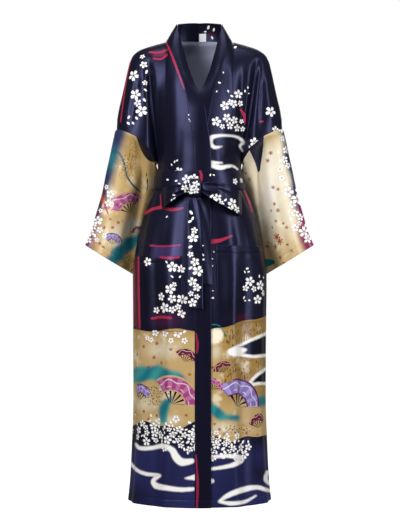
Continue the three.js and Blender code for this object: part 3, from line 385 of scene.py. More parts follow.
def sleeve_grid(name):
    """A sleeve as one sheet, from its inner edge across the front and back again."""
    side = SIDES[name]
    along = ALONG[:, None]
    in_x, in_y = (read(along) for read in readers(SLEEVE_INNER, 1, 2))
    middle, crease = (read(along) for read in readers(SLEEVE_CREASE[name], 1, 2))
    out_z = ARM_Z - SLEEVE_DROP * along
    out_x = mix(CUFF_X, outline_x(out_z), np.clip(along / 0.02, 0, 1))
    calm = smooth(0, 0.45, along)
    across = (0.5 - 0.5 * np.cos(math.pi * ARM_K / 8))[None, :]
    halves = []
    for face, seam, fat, less in ((-1, UP_FRONT[name][-1, len(TORSO) - 1:], (47, 38), 1),
                                  (1, UP_BACK[name][-1, len(BACK_TORSO) - 1:], (45, 30), 0.6)):
        x = mix(in_x, out_x, across)
        z = mix(WAIST_Z - SLEEVE_DROP * along, out_z, across)
        z = z + (seam[None, :, 2] - mix(WAIST_Z, ARM_Z, across)) * (1 - calm)
        lens = mix(*fat, along) * np.sin(math.pi * across) ** 0.72
        swell = mix(np.abs(seam[None, :, 1]), lens, calm)
        swell = swell - crease * less * smooth(0, 0.06, along) * bell(across - middle, 0.1)
        for place, width, height, start in SLEEVE_FOLDS:
            place = place if face < 0 else 1.02 - place
            swell = swell + height * smooth(start, start + 0.3, along) * bell(across - place, width)
        for f, ax, az, bx, bz, width, height in SLEEVE_CREASES[name]:
            if f == face:
                swell = swell + smooth(0, 0.12, along) * line_bump(
                    across, along * 0.9, ax, az, bx, bz * 0.9, width, height)
        swell = swell - 0.7 * bell(along - 0.94, 0.005) * (1 + 0.4 * np.sin(across * 60))
        edge = np.clip(np.sin(math.pi * across) * 9, 0, 1) ** 0.7
        y = mix(in_y, mix(0, 5, along), across) + face * swell * edge
        halves.append(np.stack([side * x, y + 0 * x, z], -1))
    return np.concatenate([halves[0], halves[1][:, -2::-1]], axis=1)


def band_rows(side, seam):
    """Rows of the neck band from a column of seam points on a front."""
    z0, x0, y0 = seam[:, None, 2], np.abs(seam[:, None, 0]), seam[:, None, 1]
    c = BAND_C[None, :]
    follow = smooth(-120, -215, z0)
    x = x0 - rise_in(z0) * c
    z = z0 + rise_up(z0) * c
    straight = y0 + rise_back(z0) * c - 4 * np.sin(math.pi * c) * (1 - follow)
    laid = front_point(side, x, z)[..., 1] + rise_back(z0) * c
    grid = np.stack([side * x, mix(straight, laid, follow), z], -1)
    grid[:, 0] = seam
    return grid


def collar_rows(side, seam):
    x0 = np.abs(seam[:, None, 0])
    c = BAND_C[None, :]
    y = seam[:, None, 1] + collar_back(x0) * c + 3 * np.sin(math.pi * c)
    return np.stack([side * (x0 - collar_in(x0) * c), y, seam[:, None, 2] + collar_up(x0) * c], -1)


def band_grid():
    neck = BACK_TORSO <= 4
    halves = [np.concatenate([
        band_rows(side, LOW_FRONT[name][:0:-1, 0]), band_rows(side, UP_FRONT[name][:0:-1, 0]),
        collar_rows(side, UP_BACK[name][0, :len(BACK_TORSO)][neck][::-1])]) for name, side in SIDES.items()]
    return np.concatenate([halves[0], halves[1][-2::-1]])


def moved_out(side, phi, z, distance):
    """Points at a distance outside the lower body's large form."""
    phi, z = np.broadcast_arrays(np.asarray(phi, float), np.asarray(z, float))
    here = ring_point(side * phi, z, False)
    turned = ring_point(side * (phi + 0.5), z, False) - ring_point(side * (phi - 0.5), z, False)
    raised = ring_point(side * phi, z + 2, False) - ring_point(side * phi, z - 2, False)
    normal = np.cross(turned, raised)
    normal /= np.linalg.norm(normal, axis=-1, keepdims=True)
    wrong = normal[..., 0] * here[..., 0] / 150 + normal[..., 1] * here[..., 1] / 100 < 0
    normal[wrong] *= -1
    here[..., 1] -= lap_at(side, here[..., 0], z)
    return here + normal * np.asarray(distance)[..., None]


def front_face(x, z):
    """The y of the right front's face, or of the sash's over it."""
    surface = front_point(-1, -x, z)[..., 1] - 1.1
    return surface - smooth(-437, -422, z) * smooth(-360, -375, z) * 4.2


# ------------------------------------------------------------------ meshes
def weld(grids):
    """The points and four-cornered faces of one sheet from several grids."""
    points, faces, index = [], [], {}
    for grid, flip in grids:
        keys = np.round(grid * 200).astype(int).tolist()
        ids = np.empty(grid.shape[:2], int)
        for i, j in np.ndindex(ids.shape):
            key = tuple(keys[i][j])
            if key not in index:
                index[key] = len(points)
                points.append(grid[i, j])
            ids[i, j] = index[key]
        a, b, c, d = ids[:-1, :-1], ids[1:, :-1], ids[1:, 1:], ids[:-1, 1:]
        faces.append(np.stack([a, d, c, b] if flip else [a, b, c, d], -1).reshape(-1, 4))
    return np.array(points), np.concatenate(faces)


def polygons(quads):
    """Faces without repeated corners."""
    faces = [[v for k, v in enumerate(q) if v != q[k - 1]] for q in quads.tolist()]
    return [f for f in faces if len(set(f)) >= 3]


PIECES = {}


def shell(name, grids, thickness, outside, inside, seam_roll=0.5, node=None):
    """A thin closed shell round welded grids, its rim rolled in by seam_roll, for a node of the frame."""
    points, quads = weld(grids)
    faces = polygons(quads)
    a, b, c, d = (points[[f[k] if k < len(f) else f[-1] for f in faces]] for k in range(4))
    spread = np.cross(c - a, d - b)
    normal = np.zeros_like(points)
    for k in range(4):
        np.add.at(normal, [f[k] if k < len(f) else f[-1] for f in faces], spread)
    normal /= np.maximum(np.linalg.norm(normal, axis=1, keepdims=True), 1e-9)
    edges = {(v, f[(k + 1) % len(f)]): True for f in faces for k, v in enumerate(f)}
    rim = [e for e in edges if (e[1], e[0]) not in edges]
    rolled = np.zeros((len(points), 1))
    rolled[list({v for e in rim for v in e})] = seam_roll
    n = len(points)
    layers = [points + normal * (half - rolled) for half in (thickness / 2, -thickness / 2)]
    loops = faces + [[v + n for v in reversed(f)] for f in faces] + [[b, a, a + n, b + n] for a, b in rim]
    mesh = bpy.data.meshes.new(name)
    mesh.from_pydata((np.concatenate(layers) / 1000).tolist(), [], loops)
    mesh.polygons.foreach_set("use_smooth", [True] * len(loops))
    mesh.polygons.foreach_set("material_index", [0] * len(faces) + [1] * len(faces) + [0] * len(rim))
    for material in (outside, inside):
        mesh.materials.append(material)
    sharp = {tuple(sorted((a + k, b + k))) for a, b in rim for k in (0, n)}
    layer = mesh.attributes.new("sharp_edge", "BOOLEAN", "EDGE")
    layer.data.foreach_set("value", [tuple(sorted(e.vertices)) in sharp for e in mesh.edges])
    mesh.update()
    obj = bpy.data.objects.new(name, mesh)
    bpy.context.scene.collection.objects.link(obj)
    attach(obj, "root")
    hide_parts(node or name[6:])
    area = np.linalg.norm(spread, axis=1).sum() / 2 / 1e6
    PIECES[name] = dict(obj=obj, points=points, normal=normal, area=area, grids=grids)


# ------------------------------------------------------------------ the print
# The print is laid out in steps of 2.857 mm, X across from the wearer's right and Y down from above the
# collar, as the camera sees the front. The camera's distance and height are in millimetres.
STEP, EYE_AWAY, EYE_Z = 2.857, 3800, -637


def lin(*rgb):
    c = np.array(rgb, float) / 255
    return np.where(c <= 0.04045, c / 12.92, ((c + 0.055) / 1.055) ** 2.4)


DYES = table("16 15 30, 36 38 82, 190 160 106, 156 120 50, 218 206 178, 24 112 124, 150 62 114, 84 18 36,"
             "152 38 62, 122 102 166, 11 11 18, 240 238 234")
NAVY, RIVER, GOLD, MUSTARD, CREAM, TEAL, MAGENTA, MAROON, PINK, LILAC, BLACKISH, PEARL = (
    lin(*dye) for dye in DYES)


def layout(points, back=False):
    """Print coordinates of points: as seen from 3.8 m in front, or straight on from behind."""
    k = 1 if back else EYE_AWAY / (EYE_AWAY + points[:, 1])
    x = points[:, 0] * (-1 if back else 1)
    return 200.5 + x * k / STEP, 265 - (points[:, 2] - EYE_Z) * k / STEP


def blend(colour, over, amount):
    return colour + (over - colour) * np.clip(amount, 0, 1)[:, None]


def paint(colour, *coats):
    """Lays coats, each a colour and an amount, one over another."""
    for over, amount in coats:
        colour = blend(colour, over, amount)
    return colour


def blob(X, Y, x, y, rx, ry):
    return smooth(1, 0, np.hypot((X - x) / rx, (Y - y) / ry))


def blobs(X, Y, text):
    return np.maximum.reduce([blob(X, Y, *row) for row in table(text)])


def field(X, Y, a, b, c, d, e, f, g, h):
    """A rectangle with soft edges: left from a to b, right d to c, top e to f and foot h to g."""
    return smooth(a, b, X) * smooth(c, d, X) * smooth(e, f, Y) * smooth(g, h, Y)


def stroke(X, Y, rows):
    """Signed distance inside a smooth stroke through rows of X, Y and half width."""
    p = np.array(rows)
    t = np.linspace(0, len(p) - 1, 14 * (len(p) - 1) + 1)
    i = np.minimum(t.astype(int), len(p) - 2)
    f = (t - i)[:, None]
    a, b, c, d = (p[np.clip(i + k, 0, len(p) - 1), :2] for k in (-1, 0, 1, 2))
    path = 0.5 * (2 * b + (c - a) * f + (2 * a - 5 * b + 4 * c - d) * f ** 2
                  + (3 * b - a - 3 * c + d) * f ** 3)
    width = np.interp(t, np.arange(len(p)), p[:, 2])
    best = np.full(X.shape, -1e3)
    for k in range(len(path) - 1):
        ax, ay = path[k]
        dx, dy = path[k + 1] - path[k]
        s = np.clip(((X - ax) * dx + (Y - ay) * dy) / (dx * dx + dy * dy + 1e-9), 0, 1)
        away = np.hypot(X - ax - dx * s, Y - ay - dy * s)
        best = np.maximum(best, mix(width[k], width[k + 1], s) - away)
    return best


def strokes(text):
    """Strokes from text, with semicolons between them: rows of X, Y and half width."""
    return [table(one) for one in text.split(";")]


# White streams of the border, cloud outlines of the chest, tapered dark clouds of the border, pools in it,
# pink bars, and which of those the back has.
STREAMS = strokes("""137 444 1.2, 141 448 2, 152 448 2, 164 446 2.2, 173 450 3, 177 457 3.8, 183 462 3.8,
    193 461 2.4; 131 462 1.2, 138 470 1.6, 148 474 1.8, 161 475.4 1.2, 154.5 480 2, 157 485.5 3, 168 488 2.6,
    182 489.6 2.2, 194 489 1.8; 186 478.4 0.6, 196 477.4 3; 205 458 1.4, 225 456 1.8, 239 457 2.4,
    242 459.6 2.8, 236 464 2.4, 225 467 1.8, 205 470 1.2; 206 481 3, 213 481 2.2; 219.6 501.6 0.8,
    229 495.4 2.4, 243 490 2.8, 257 487.3 2.2, 268 490 1.8, 276 492 1.4; 219.6 501.6 1, 232 503.4 2,
    246 501.6 1.6, 257 495.4 0.8; 268 472 1.6, 267 480 2.2, 274 486.4 1.2; 230 352.6 1.6, 238 351 4.6,
    247 349.6 1""")
CHEST = strokes("""211 142.5 2.6, 213 137.5 2.2, 222 135.5 1.4, 233 136 1, 240 138 1.3, 244 142.5 1.7,
    241 146 1.2, 243.5 151 0.7; 211 144 2.2, 216 147.4 1.6, 223 146.4 0.4; 212 161.7 1.2, 217 163 1.6,
    223 162.6 0.5; 211.5 165 2, 221 167.5 2.4, 232.6 166 1.2, 238.4 169.2 0.7""")
CURLS = strokes("232 352 2, 243 350 5, 255 348 8.5, 270 344 11; 252 383.5 1.2, 259 379.5 4, 270 376 8")
WATER = strokes("""128 377 7, 152 373 7.5, 164 375 7.4, 179 381 7, 190 391 5; 204 402 5, 213 409 5, 224 416 4,
    238 418 2; 250 403 2, 262 401 5, 276 402 5; 165 421 3, 166 408 5, 171 399 3""")
BARS = strokes("""150.5 52.3 1, 160 52.6 1, 168 49.8 1; 154.6 58.6 1, 162 59 1, 168 55 1; 167.5 40 1.5,
    175 61 1.2, 185.5 89 0.6; 147 213 1.5, 154 209 1.5, 162 207.5 1.5; 162 207 0.7, 161.6 194 0.5;
    164 208 1.2, 174 209.6 1.8, 184 208 1; 151 245.6 1, 166 246 1, 181 245.2 1; 161.6 257.4 1.2,
    172 258.2 1.2, 180 257 1.2; 213 241.6 2.5, 221 240.4 1.8, 233.5 235.5 0.8; 139.6 257 0.8, 139.8 292 1.2,
    140.6 328 1.2; 135 262 0.6, 134.8 326 0.6; 207.4 105.5 0.7, 207.2 111 1.5, 205.6 117 0.8; 241 109 0.8,
    245 115 1.6, 245.6 124 0.7; 153 318.4 1.4, 163 317 1.4, 172 318 1.4; 231.7 174 0.9, 237 175 0.9;
    243.5 186 0.6, 249 198 1.3, 253 212 0.6; 214.2 246 0.55, 214.3 300 0.55; 132.5 57 0.7, 127.4 80 0.7,
    121.6 122 0.7; 261 121.6 0.9, 264 121.4 0.9""")
BACK_BARS = (0, 1, 6, 7, 8, 13)
# Painted shade: dark blobs of X, Y and two radii on the front's ground, where its folds and armpits fall into
# shade.
PAINTED_SHADE_BLOBS = table("151 108 8 62, 245 108 15 30, 236 225 22 22, 150 290 12 44, 230 306 18 16, 216 172 14 12,"
               "262 226 8 26, 145 225 8 26")


def design(X, Y, where):
    """The print at points, with painted shade on the front and a painted highlight on the left sleeve:
    ground, two inks, the signed distances of three layers, and what is strewn.
    """
    n = len(X)
    behind = where == "back"
    ground, ink_a, ink_b = (np.tile(c, (n, 1)) for c in (NAVY, GOLD, TEAL))
    edges = [np.full(n, -50.0) for _ in range(3)]
    fleck, speck, reeds = (np.zeros(n) for _ in range(3))

    def stamp(colour, sd):
        """Adds a shape to the second ink: the greatest signed distance wins, with its colour."""
        ink_b[(sd > -3.5) & (sd > edges[1])] = colour
        edges[1] = np.maximum(edges[1], sd)

    if where in ("front", "back"):
        if behind:
            X = X + np.where(X < 200.5, -6, 5) + 3 * np.sin(Y / 40)
        shift = 15 * behind
        disc = np.hypot(X - 215, Y - 335)
        ground = paint(
            ground, (RIVER, smooth(438, 454, Y) * (0.8 + 0.2 * np.sin(X / 11 + Y / 23))),
            (BLACKISH, 0.75 * blobs(X, Y, "132 496 24 20, 262 474 20 18")),
            # painted shade in the front's folds, which the back leaves out
            *((BLACKISH * 0.7, 0.8 * blob(X, Y, *row)) for row in ([] if behind else PAINTED_SHADE_BLOBS)),
            (lin(58, 44, 86), 0.9 * field(X, Y, 152, 159, 182, 179, 245, 247, 259, 257)),
            (lin(66, 22, 56), 0.7 * blob(X, Y, 168, 320, 24, 14)),
            (MAROON * 0.55, 0.8 * blob(X, Y, 243, 318, 12, 7)),
            (MAROON * 0.6, field(X, Y, 140.6, 139, 134.6, 136, 255, 260, 330, 327)),
            (BLACKISH, 0.85 * blob(X, Y, 228 - 4 * shift, 151 + shift, 17, 14)),
            (lin(88, 34, 62), field(X, Y, 152, 156, 169, 166, 50, 53, 58, 56) * (not behind)))
        top = np.where(X < 203, 330 + 1.6 * np.sin(X / 7.5), 330 - 0.26 * (X - 212) + np.sin(X / 5))
        low = np.where(X < 203, 425, 438) + 2.6 * np.sin(X / 9 + 1) + 1.4 * np.sin(X / 4)
        gold = edges[0] = np.minimum(Y - top, low - Y)
        water = np.maximum.reduce([stroke(X, Y, rows) for rows in WATER])
        wet = smooth(-2.6, 2.2, water + 0.8 * np.sin(X / 3.1))
        ink_a = 0.9 * paint(
            ink_a, (MUSTARD, smooth(212, 232, X) * smooth(412, 392, Y) * 0.8),
            (CREAM, 0.85 * blobs(X, Y, "164 350 28 14, 146 404 16 12, 222 428 22 10, 165 420 26 8,"
                                       "217 352 9 12")),
            (MUSTARD * 0.8, smooth(top + 8, top, Y) * 0.4),
            (blend(ink_b, lin(66, 160, 154), 0.35 + 0.35 * np.sin(X / 3 + Y / 5)), wet))
        ink_a = blend(ink_a, lin(238, 228, 204), smooth(10, 8, disc) * smooth(325, 332, Y) * (not behind))
        fleck = smooth(1, 3, gold) * (0.6 + 0.4 * np.sin(X / 17 + Y / 29)) * (1 - wet)
        speck = smooth(1, 4, gold) * smooth(0.1, 0.5, blobs(X, Y, "158 396 24 17, 238 430 22 9")) * (1 - wet)
        reeds = smooth(1, 5, gold) * smooth(218, 228, X) * smooth(398, 380, Y)
        clouds = [stroke(X + 26 * behind, Y, rows) for rows in CURLS]
        edges[2] = np.maximum.reduce(
            [edges[2], *(1.5 - np.abs(cloud) for cloud in clouds), *(stroke(X, Y, rows) for rows in STREAMS),
             *(stroke(X + 4 * shift, Y - shift, rows) for rows in CHEST)])
        for cloud in clouds:
            stamp(BLACKISH, cloud - 1.2)
        for rows in [BARS[k] for k in BACK_BARS] if behind else BARS:
            stamp(PINK, stroke(X - 40 * behind, Y - 14 * behind, rows))
        if not behind:
            stamp(TEAL, np.where(Y < 337, 0.6 - np.abs(disc - 10.5), -9))
    elif where == "sleeve_right":
        near = 126 - 0.29 * (Y - 130) - X
        pool = stroke(X, Y, table("108 268 5, 118 255 6.5, 130 244 6, 142 236 3")) + np.sin(X / 3 - Y / 4)
        body = paint(
            ink_a, (MUSTARD, blob(X, Y, 131, 158, 18, 30) * 0.8),
            (CREAM, 0.9 * blobs(X, Y, "116 236 26 20, 112 196 10 14")),
            (lin(222, 214, 200), blob(X, Y, 134, 226, 13, 14) * 0.9), (MUSTARD, blob(X, Y, 131, 264, 14, 12)),
            (TEAL, smooth(-3, 2.4, pool)))
        cool = paint(np.tile(lin(34, 44, 84), (n, 1)), (TEAL, blob(X, Y, 113, 158, 12, 22) * 0.9),
                     (lin(110, 34, 66), smooth(190, 226, Y) * 0.85))
        ground = blend(body, cool, smooth(-7, 3, near))
        reeds = blob(X, Y, 131, 158, 15, 28)
        speck = np.maximum(blob(X, Y, 128, 166, 16, 22), smooth(0, 0.5, blob(X, Y, 131, 264, 12, 12)))
        fleck = (smooth(176, 205, Y) + 0.4) * smooth(4, -6, near) * smooth(1, -2, pool)
        for colour, rows in zip((TEAL * 0.5, lin(156, 62, 34), MAROON, BLACKISH, NAVY), strokes(
                "112 151 0.5, 120 153 1.1, 125 163 1, 128 176 1, 134.7 186 1, 142 192.4 0.6;"
                "105 182.5 1, 101.6 194 2.4, 106 205.7 1.3, 110 216 0.5;"
                "104 186 0.5, 107 196 1.2, 104.6 206 0.5; 147 170 0.4, 148.5 184 0.9, 146 196 0.4;"
                "152 131 16, 152.5 145 11.5, 154 155 7")):
            stamp(colour, stroke(X, Y, rows))
    elif where == "sleeve_left":
        near = X - 278 - 0.2 * (Y - 125) + 1.6 * np.sin(Y / 6)
        # The near-white strip down the middle of the sleeve is a painted highlight.
        body = paint(np.tile(CREAM, (n, 1)),
                     (GOLD, np.maximum(smooth(215, 256, Y) * 0.85, blob(X, Y, 272, 132, 16, 24))),
                     (lin(238, 234, 222), blob(X, Y, 271, 190, 13, 56) * 0.9))
        cool = blend(np.tile(lin(32, 33, 66), (n, 1)), lin(128, 36, 78), smooth(186, 226, Y) * 0.95)
        ground = blend(body, cool, smooth(-3, 5, near))
        fleck = smooth(6, -4, near)
        for colour, rows in zip((lin(22, 22, 50), TEAL), strokes(
                "254 136 11, 257 148 7, 259 161 3.4, 260 174 0.3; 254 272 6, 264 264 5, 274 262 2")):
            stamp(colour, stroke(X, Y, rows))
    elif where == "band":
        ground = blend(ground * 0.85, MAROON, 0.6 * blob(X, Y, 212, 35, 5, 5))
        for y0, y1 in ((172, 186), (333, 353), (454, 510)):
            stamp(lin(138, 30, 58), stroke(X, Y, [(197, y0, 0.7), (198.6, (y0 + y1) / 2, 1.3), (198, y1, 1)]))
    elif where == "belt":
        stamp(PINK, stroke(X, Y, table("200.4 169 0.8, 202.4 176 1.6, 201.6 185 0.8")))
    return (np.clip(ground, 0, 1), ink_a, ink_b, np.stack(edges, -1) * STEP,
            np.clip(np.stack([fleck, speck, reeds], -1), 0, 1))


def spots(text, kind=None):
    """Blossoms from rows of X, Y and radius. Where no kind is given, the small ones are single petals."""
    return [(x, y, r, kind or (1 if r > 2.6 else 2)) for x, y, r in table(text)]


def cluster(seed, count, path, spread, low, high, gap=0.8, petals=0.25):
    """Blossoms along a path of X and Y, none over another, with loose petals."""
    rng = np.random.default_rng(seed)
    p = np.array(table(path))
    out = []
    for _ in range(count * 30):
        if len(out) >= count:
            break
        t = rng.uniform(0, len(p) - 1)
        i = min(int(t), len(p) - 2)
        at = p[i] + (p[i + 1] - p[i]) * (t - i) + rng.normal(0, 1, 2) * spread * 0.6
        loose = rng.uniform() < petals
        r = rng.uniform(low, high) * (0.5 if loose else 1)
        if all(math.hypot(at[0] - q[0], at[1] - q[1]) > (r + q[2]) * gap for q in out):
            out.append((at[0], at[1], r, 2 if loose else 1))
    return out


# Motifs of each piece: X, Y, radius and kind, where 1 is a blossom, 2 a petal, 3 a leaf and 4 to 6 are fans.
TRAIL_RIGHT = spots("""148.2 261 4.8, 174.1 267.6 5.8, 181.6 269.5 4.4, 167 261.4 1.8, 170.5 289 5.8,
    176 284 2.8, 162.5 297 4.6, 173.4 299 4.6, 165 307.4 5.6, 157.6 310.5 4, 172.5 309.4 4.2, 183.4 299 5.6,
    179 306 3.6, 182.4 314 4.8, 174 276 1.8, 181 277 1.6""")
TRAIL_LEFT = spots("""250.9 282 5.8, 261.6 285.5 5.8, 246.2 288 4.2, 258 299.4 5.6, 264 292.6 3.8,
    254.4 289.6 3.4, 247.6 268.4 2, 250 271 1.6, 245.4 271.6 1.6, 245.4 297 1.8, 250 300 1.6, 246 301 1.4,
    260.6 276 1.8, 264 278 1.6""")
MOTIFS = {
    "front_right": spots("""134.6 76 6.4, 137.4 94.6 6, 139.4 103 4.2, 142.4 111 6.4, 143.6 56.6 3,
        145 64.6 4.2, 147.6 72 2.4, 146.6 83 3, 147 90 2, 137 118.4 2.2, 129.6 117.4 2.1, 134 123 2,
        129.8 123.4 2.2, 146 100 2.2, 193.2 114 1.5, 194.6 121 1.2, 190 119 1, 179.5 171.7 4.8, 173 165 1.6,
        175.4 161.6 1.6, 178.6 160.6 1.6, 169.5 179 1.8, 168 217 1.4""") + TRAIL_RIGHT
    + spots("""162.5 324.8 5.6, 166.4 333.4 4.6, 178.6 333.6 4.8, 157 333.6 4, 185 331.4 2, 148 338 3,
        151.8 340.4 3, 171.6 340 3.2, 186 340 3.6, 140 337 2.8""")
    + cluster(6, 70, "134 428, 150 431, 166 431, 180 436, 194 444", 8, 3, 5, gap=0.72)
    + table("172 404 29 4, 141 400 17 5, 186 362 14 6")
    + spots("""158 344 2.4, 154.6 356.8 2.4, 171.6 348.6 2.2, 163 363 2.2, 145 346 2.2, 138.6 354 2.6,
        150 368 2, 144.6 412 2.2, 158 415.6 2, 150 418.4 2.2, 137 412.6 2, 190 374 2, 175 413 2.2,
        187 415 2""", 3),
    "front_left": spots("""239.2 94.4 5.4, 232.6 96 2, 231 101.6 3, 229 91 1.6, 246 91 1.4, 249 88 1.4,
        250 94 1.4, 225.9 106.2 5.2, 234.8 104 4.6, 241 104 3.4, 217.6 122 5.4, 227.6 118 5, 235.4 119.6 4.8,
        230.6 126.4 4.4, 238 128 4.4, 223.4 127 3.2, 243.4 129.4 3, 242 122 2.8, 272.4 111.4 6.2,
        276 129.4 4.4, 255.8 142 5, 250.6 146 1.8, 261 143.4 1.6, 236.6 46.6 2.4, 224.5 72.5 1.2,
        220.3 83 1.7, 218 91.4 1.2, 211.6 174.6 1.5, 215 174.4 1.3, 213.4 164 1, 236 180 3.4, 243 178.6 3""")
    + TRAIL_LEFT + spots("214.2 297 1.6, 214.2 251 1, 214.2 258 1, 214.2 266 1, 214.2 290 1")
    + cluster(11, 50, "206 446, 216 446, 230 448, 242 447", 7, 3, 5.2, gap=0.72)
    + table("238 408 29 5, 214 391 13 4, 259 428 16 6, 226 372 12 6")
    + spots("""221 428.6 2, 226 434 2.2, 217 436 2, 268 396 2.4, 247 433 2.4, 259 434 2.2, 213 368 2,
        229 376 2.2, 216 424 1.8""", 3),
    "sleeve_right": spots("""98.2 220.6 5.6, 94.6 226.6 4.2, 91.4 232.6 4.6, 100.6 229.6 3.8, 89.6 240 4,
        104.6 236 3, 98 239.6 2.8, 101.4 211 2.8, 112 194 4.6, 109 202.6 4.2, 113.6 204.6 3.2, 107.4 187 2.8,
        96 236 2, 93.4 222 2""") + table("130 213 23 4, 112 244 12 5, 139 233 9 6")
    + spots("""123.6 221 2.2, 118.4 222.6 2.4, 104.8 228 2.2, 101 243.6 2, 113 227 2.2, 112 219 2, 127 253 2,
        104 247 2""", 3),
    "sleeve_left": spots("""277.6 121.6 3.8, 281.4 129.6 4.6, 284 139 3.6, 286.6 149.6 5, 285.4 160 4.4,
        289 166 4, 281.6 169.4 3.8, 283.4 178 4, 279 152 2, 280 161 2, 289.8 191.6 6.2, 298 199 6.2,
        293 204.6 4.2, 303 197 3.4, 303.6 203.6 2, 296.4 212.8 4.4, 301.4 216.6 4, 304.4 231.6 5.8,
        296.4 227.6 4.6, 308.6 238.6 4.6, 292 219 2.8, 300 223.4 2.8, 287 184 2.6, 297.4 190 2.2,
        290.6 211 2.2, 309 225 2.6""")
    + spots("""276.8 237 4.6, 281.6 241.4 4.2, 277.6 246.4 3.4, 271.6 153.6 2.6, 268.6 160 2.6, 278 190 2.2,
        273.4 187.4 2.4, 275.4 203.6 2.2, 279.6 210 2.6, 289 244 2, 271.6 211 2, 292.6 251 2.2, 281 257.6 2.4,
        287.4 228 2.2, 284 223 2, 277.6 221 2, 251 178.6 2.2, 246.4 173 2, 274 228 2, 268 246 2,
        285 263 2""", 3),
    "back": cluster(21, 26, "262 52, 256 76, 262 100, 250 122", 8, 3, 6.2)
    + cluster(22, 30, "168 84, 180 96, 196 104, 206 120", 8, 2.8, 5.6)
    + cluster(23, 12, "150 150, 160 164, 182 160", 6, 2.4, 5)
    + cluster(24, 44, "232 205, 216 232, 200 262, 206 292, 192 322", 12, 2.6, 5.8)
    + cluster(25, 24, "150 262, 158 290, 170 312", 9, 2.6, 5.2)
    + cluster(26, 150, "132 432, 160 434, 190 438, 220 446, 250 446, 272 446", 8, 3, 5, gap=0.72)
    + cluster(27, 30, "140 336, 180 338, 220 334, 262 330", 6, 2.6, 4.6)
    + table("160 396 26 4, 200 402 21 5, 238 376 20 6, 250 412 17 4, 206 362 13 6, 136 366 13 5"),
    "pocket_right": TRAIL_RIGHT,
    "pocket_left": TRAIL_LEFT,
    "belt": spots("""187 179.4 5, 194.4 178.4 4.6, 180.6 183 1.6, 176.6 181 1.8, 169.4 180 1.8, 211 175 1.5,
        214 175 1.3, 236.4 181 3.4, 242 180 3"""),
    "bow_right": spots("175 195 1.6, 173.6 201.4 1.8, 177 200.6 1.6, 186 188 4, 190 193 2.2"),
    "bow_left": spots("""213 196.4 2.4, 218 198 4.6, 222 203 3.4, 233.6 204 6, 237.6 210 4.4, 229.6 208 2.2,
        230.6 211.8 1.8, 236 215.4 1.6, 209.6 200.4 1.5, 214 202.6 1.4, 226 200 2"""),
    "tail_front": spots("""192.2 213 2.6, 193.6 218 2.2, 191.6 222 2.2, 195 230 3.6, 194.4 238 5.6,
        192 246.6 2.4, 191.4 254 3.4, 196 262.6 4.6, 199 271.4 6.2, 193.6 281.6 5.2, 198.4 287 4.4,
        192.6 294 3, 198.6 297 3, 193 302.4 4.8, 192 268 2.4"""),
    "tail_rear": spots("203.4 255 1.6, 203.4 260 1.8, 204 246 1.2"),
    "knot": spots("190.6 187.6 4.6, 196.8 184.6 4, 196.6 190.6 3.8, 192 193 2.4"),
    "neck_band": spots("209.4 27.4 2.5, 214.3 29.4 2.1, 205.9 32.6 1.6, 213.3 38.4 1.9")}


def place_motifs(name, motifs, back=False, toward=1):
    """Centres, axes, sizes, kinds and turns of motifs on a piece, at the points that show them."""
    P, N = PIECES[name]["points"], PIECES[name]["normal"]
    X, Y = layout(P, back)
    hidden = (N[:, 1] if back else -N[:, 1]) * toward <= 0.12
    rng = np.random.default_rng(len(motifs) + len(name))
    out = []
    for x, y, r, kind in motifs:
        away = np.hypot(X - x, Y - y) + np.where(hidden, 1e3, 0)
        at = int(np.argmin(away))
        if away[at] > 6:
            continue
        across = np.cross(N[at], (0, 0, 1.0))
        across = across / max(np.linalg.norm(across), 1e-6)
        spin = rng.uniform(-0.5, 0.5) if kind >= 4 else rng.uniform(0, 2 * math.pi)
        squash = rng.uniform(0.86, 1) if kind == 1 else 1
        out.append((P[at], N[at], across, np.cross(across, N[at]), r * STEP, kind, spin, squash))
    return out


def printed(name, where, motifs, back=False):
    """Writes a piece's print to its mesh: colours and distances by point, and motifs by corner."""
    P, N, mesh = PIECES[name]["points"], PIECES[name]["normal"], PIECES[name]["obj"].data
    for key, data in zip(("ground", "ink_a", "ink_b", "edges", "scatter"), design(*layout(P, back), where)):
        colour = key in ("ground", "ink_a", "ink_b")
        if colour:
            data = np.concatenate([data, np.ones((len(P), 1))], 1)
        layer = mesh.attributes.new(key, "FLOAT_COLOR" if colour else "FLOAT_VECTOR", "POINT")
        both = np.tile(data, (2, 1)).astype(np.float32)
        layer.data.foreach_set("color" if colour else "vector", both.ravel())
    loops = np.empty(len(mesh.loops), int)
    totals = np.empty(len(mesh.polygons), int)
    mesh.loops.foreach_get("vertex_index", loops)
    mesh.polygons.foreach_get("loop_total", totals)
    face_of = np.repeat(np.arange(len(totals)), totals)
    corner = P[loops % len(P)]
    centre, facing = np.zeros((2, len(totals), 3))
    for total, data in ((centre, corner), (facing, N[loops % len(P)])):
        np.add.at(total, face_of, data)
        total /= totals[:, None]
    best = np.full(len(totals), 1.25)
    chosen = np.full(len(totals), -1)
    for k, (c, normal, across, up, r, kind, spin, squash) in enumerate(motifs):
        d = np.where(facing @ normal > 0.1, np.linalg.norm(centre - c, axis=1) / r, 9)
        if kind >= 4:
            d = d * 0.8 + 0.25
        win = d < best
        best[win], chosen[win] = d[win], k
    value = np.zeros((len(loops), 3), np.float32)
    value[:, 0] = 9
    for k, (c, normal, across, up, r, kind, spin, squash) in enumerate(motifs):
        mask = chosen[face_of] == k
        d = corner[mask] - c
        a, b = d @ across / r, d @ up / (r * squash)
        value[mask, 0] = a * math.cos(spin) + b * math.sin(spin)
        value[mask, 1] = b * math.cos(spin) - a * math.sin(spin)
        value[mask, 2] = kind
    mesh.attributes.new("motif", "FLOAT_VECTOR", "CORNER").data.foreach_set("vector", value.ravel())


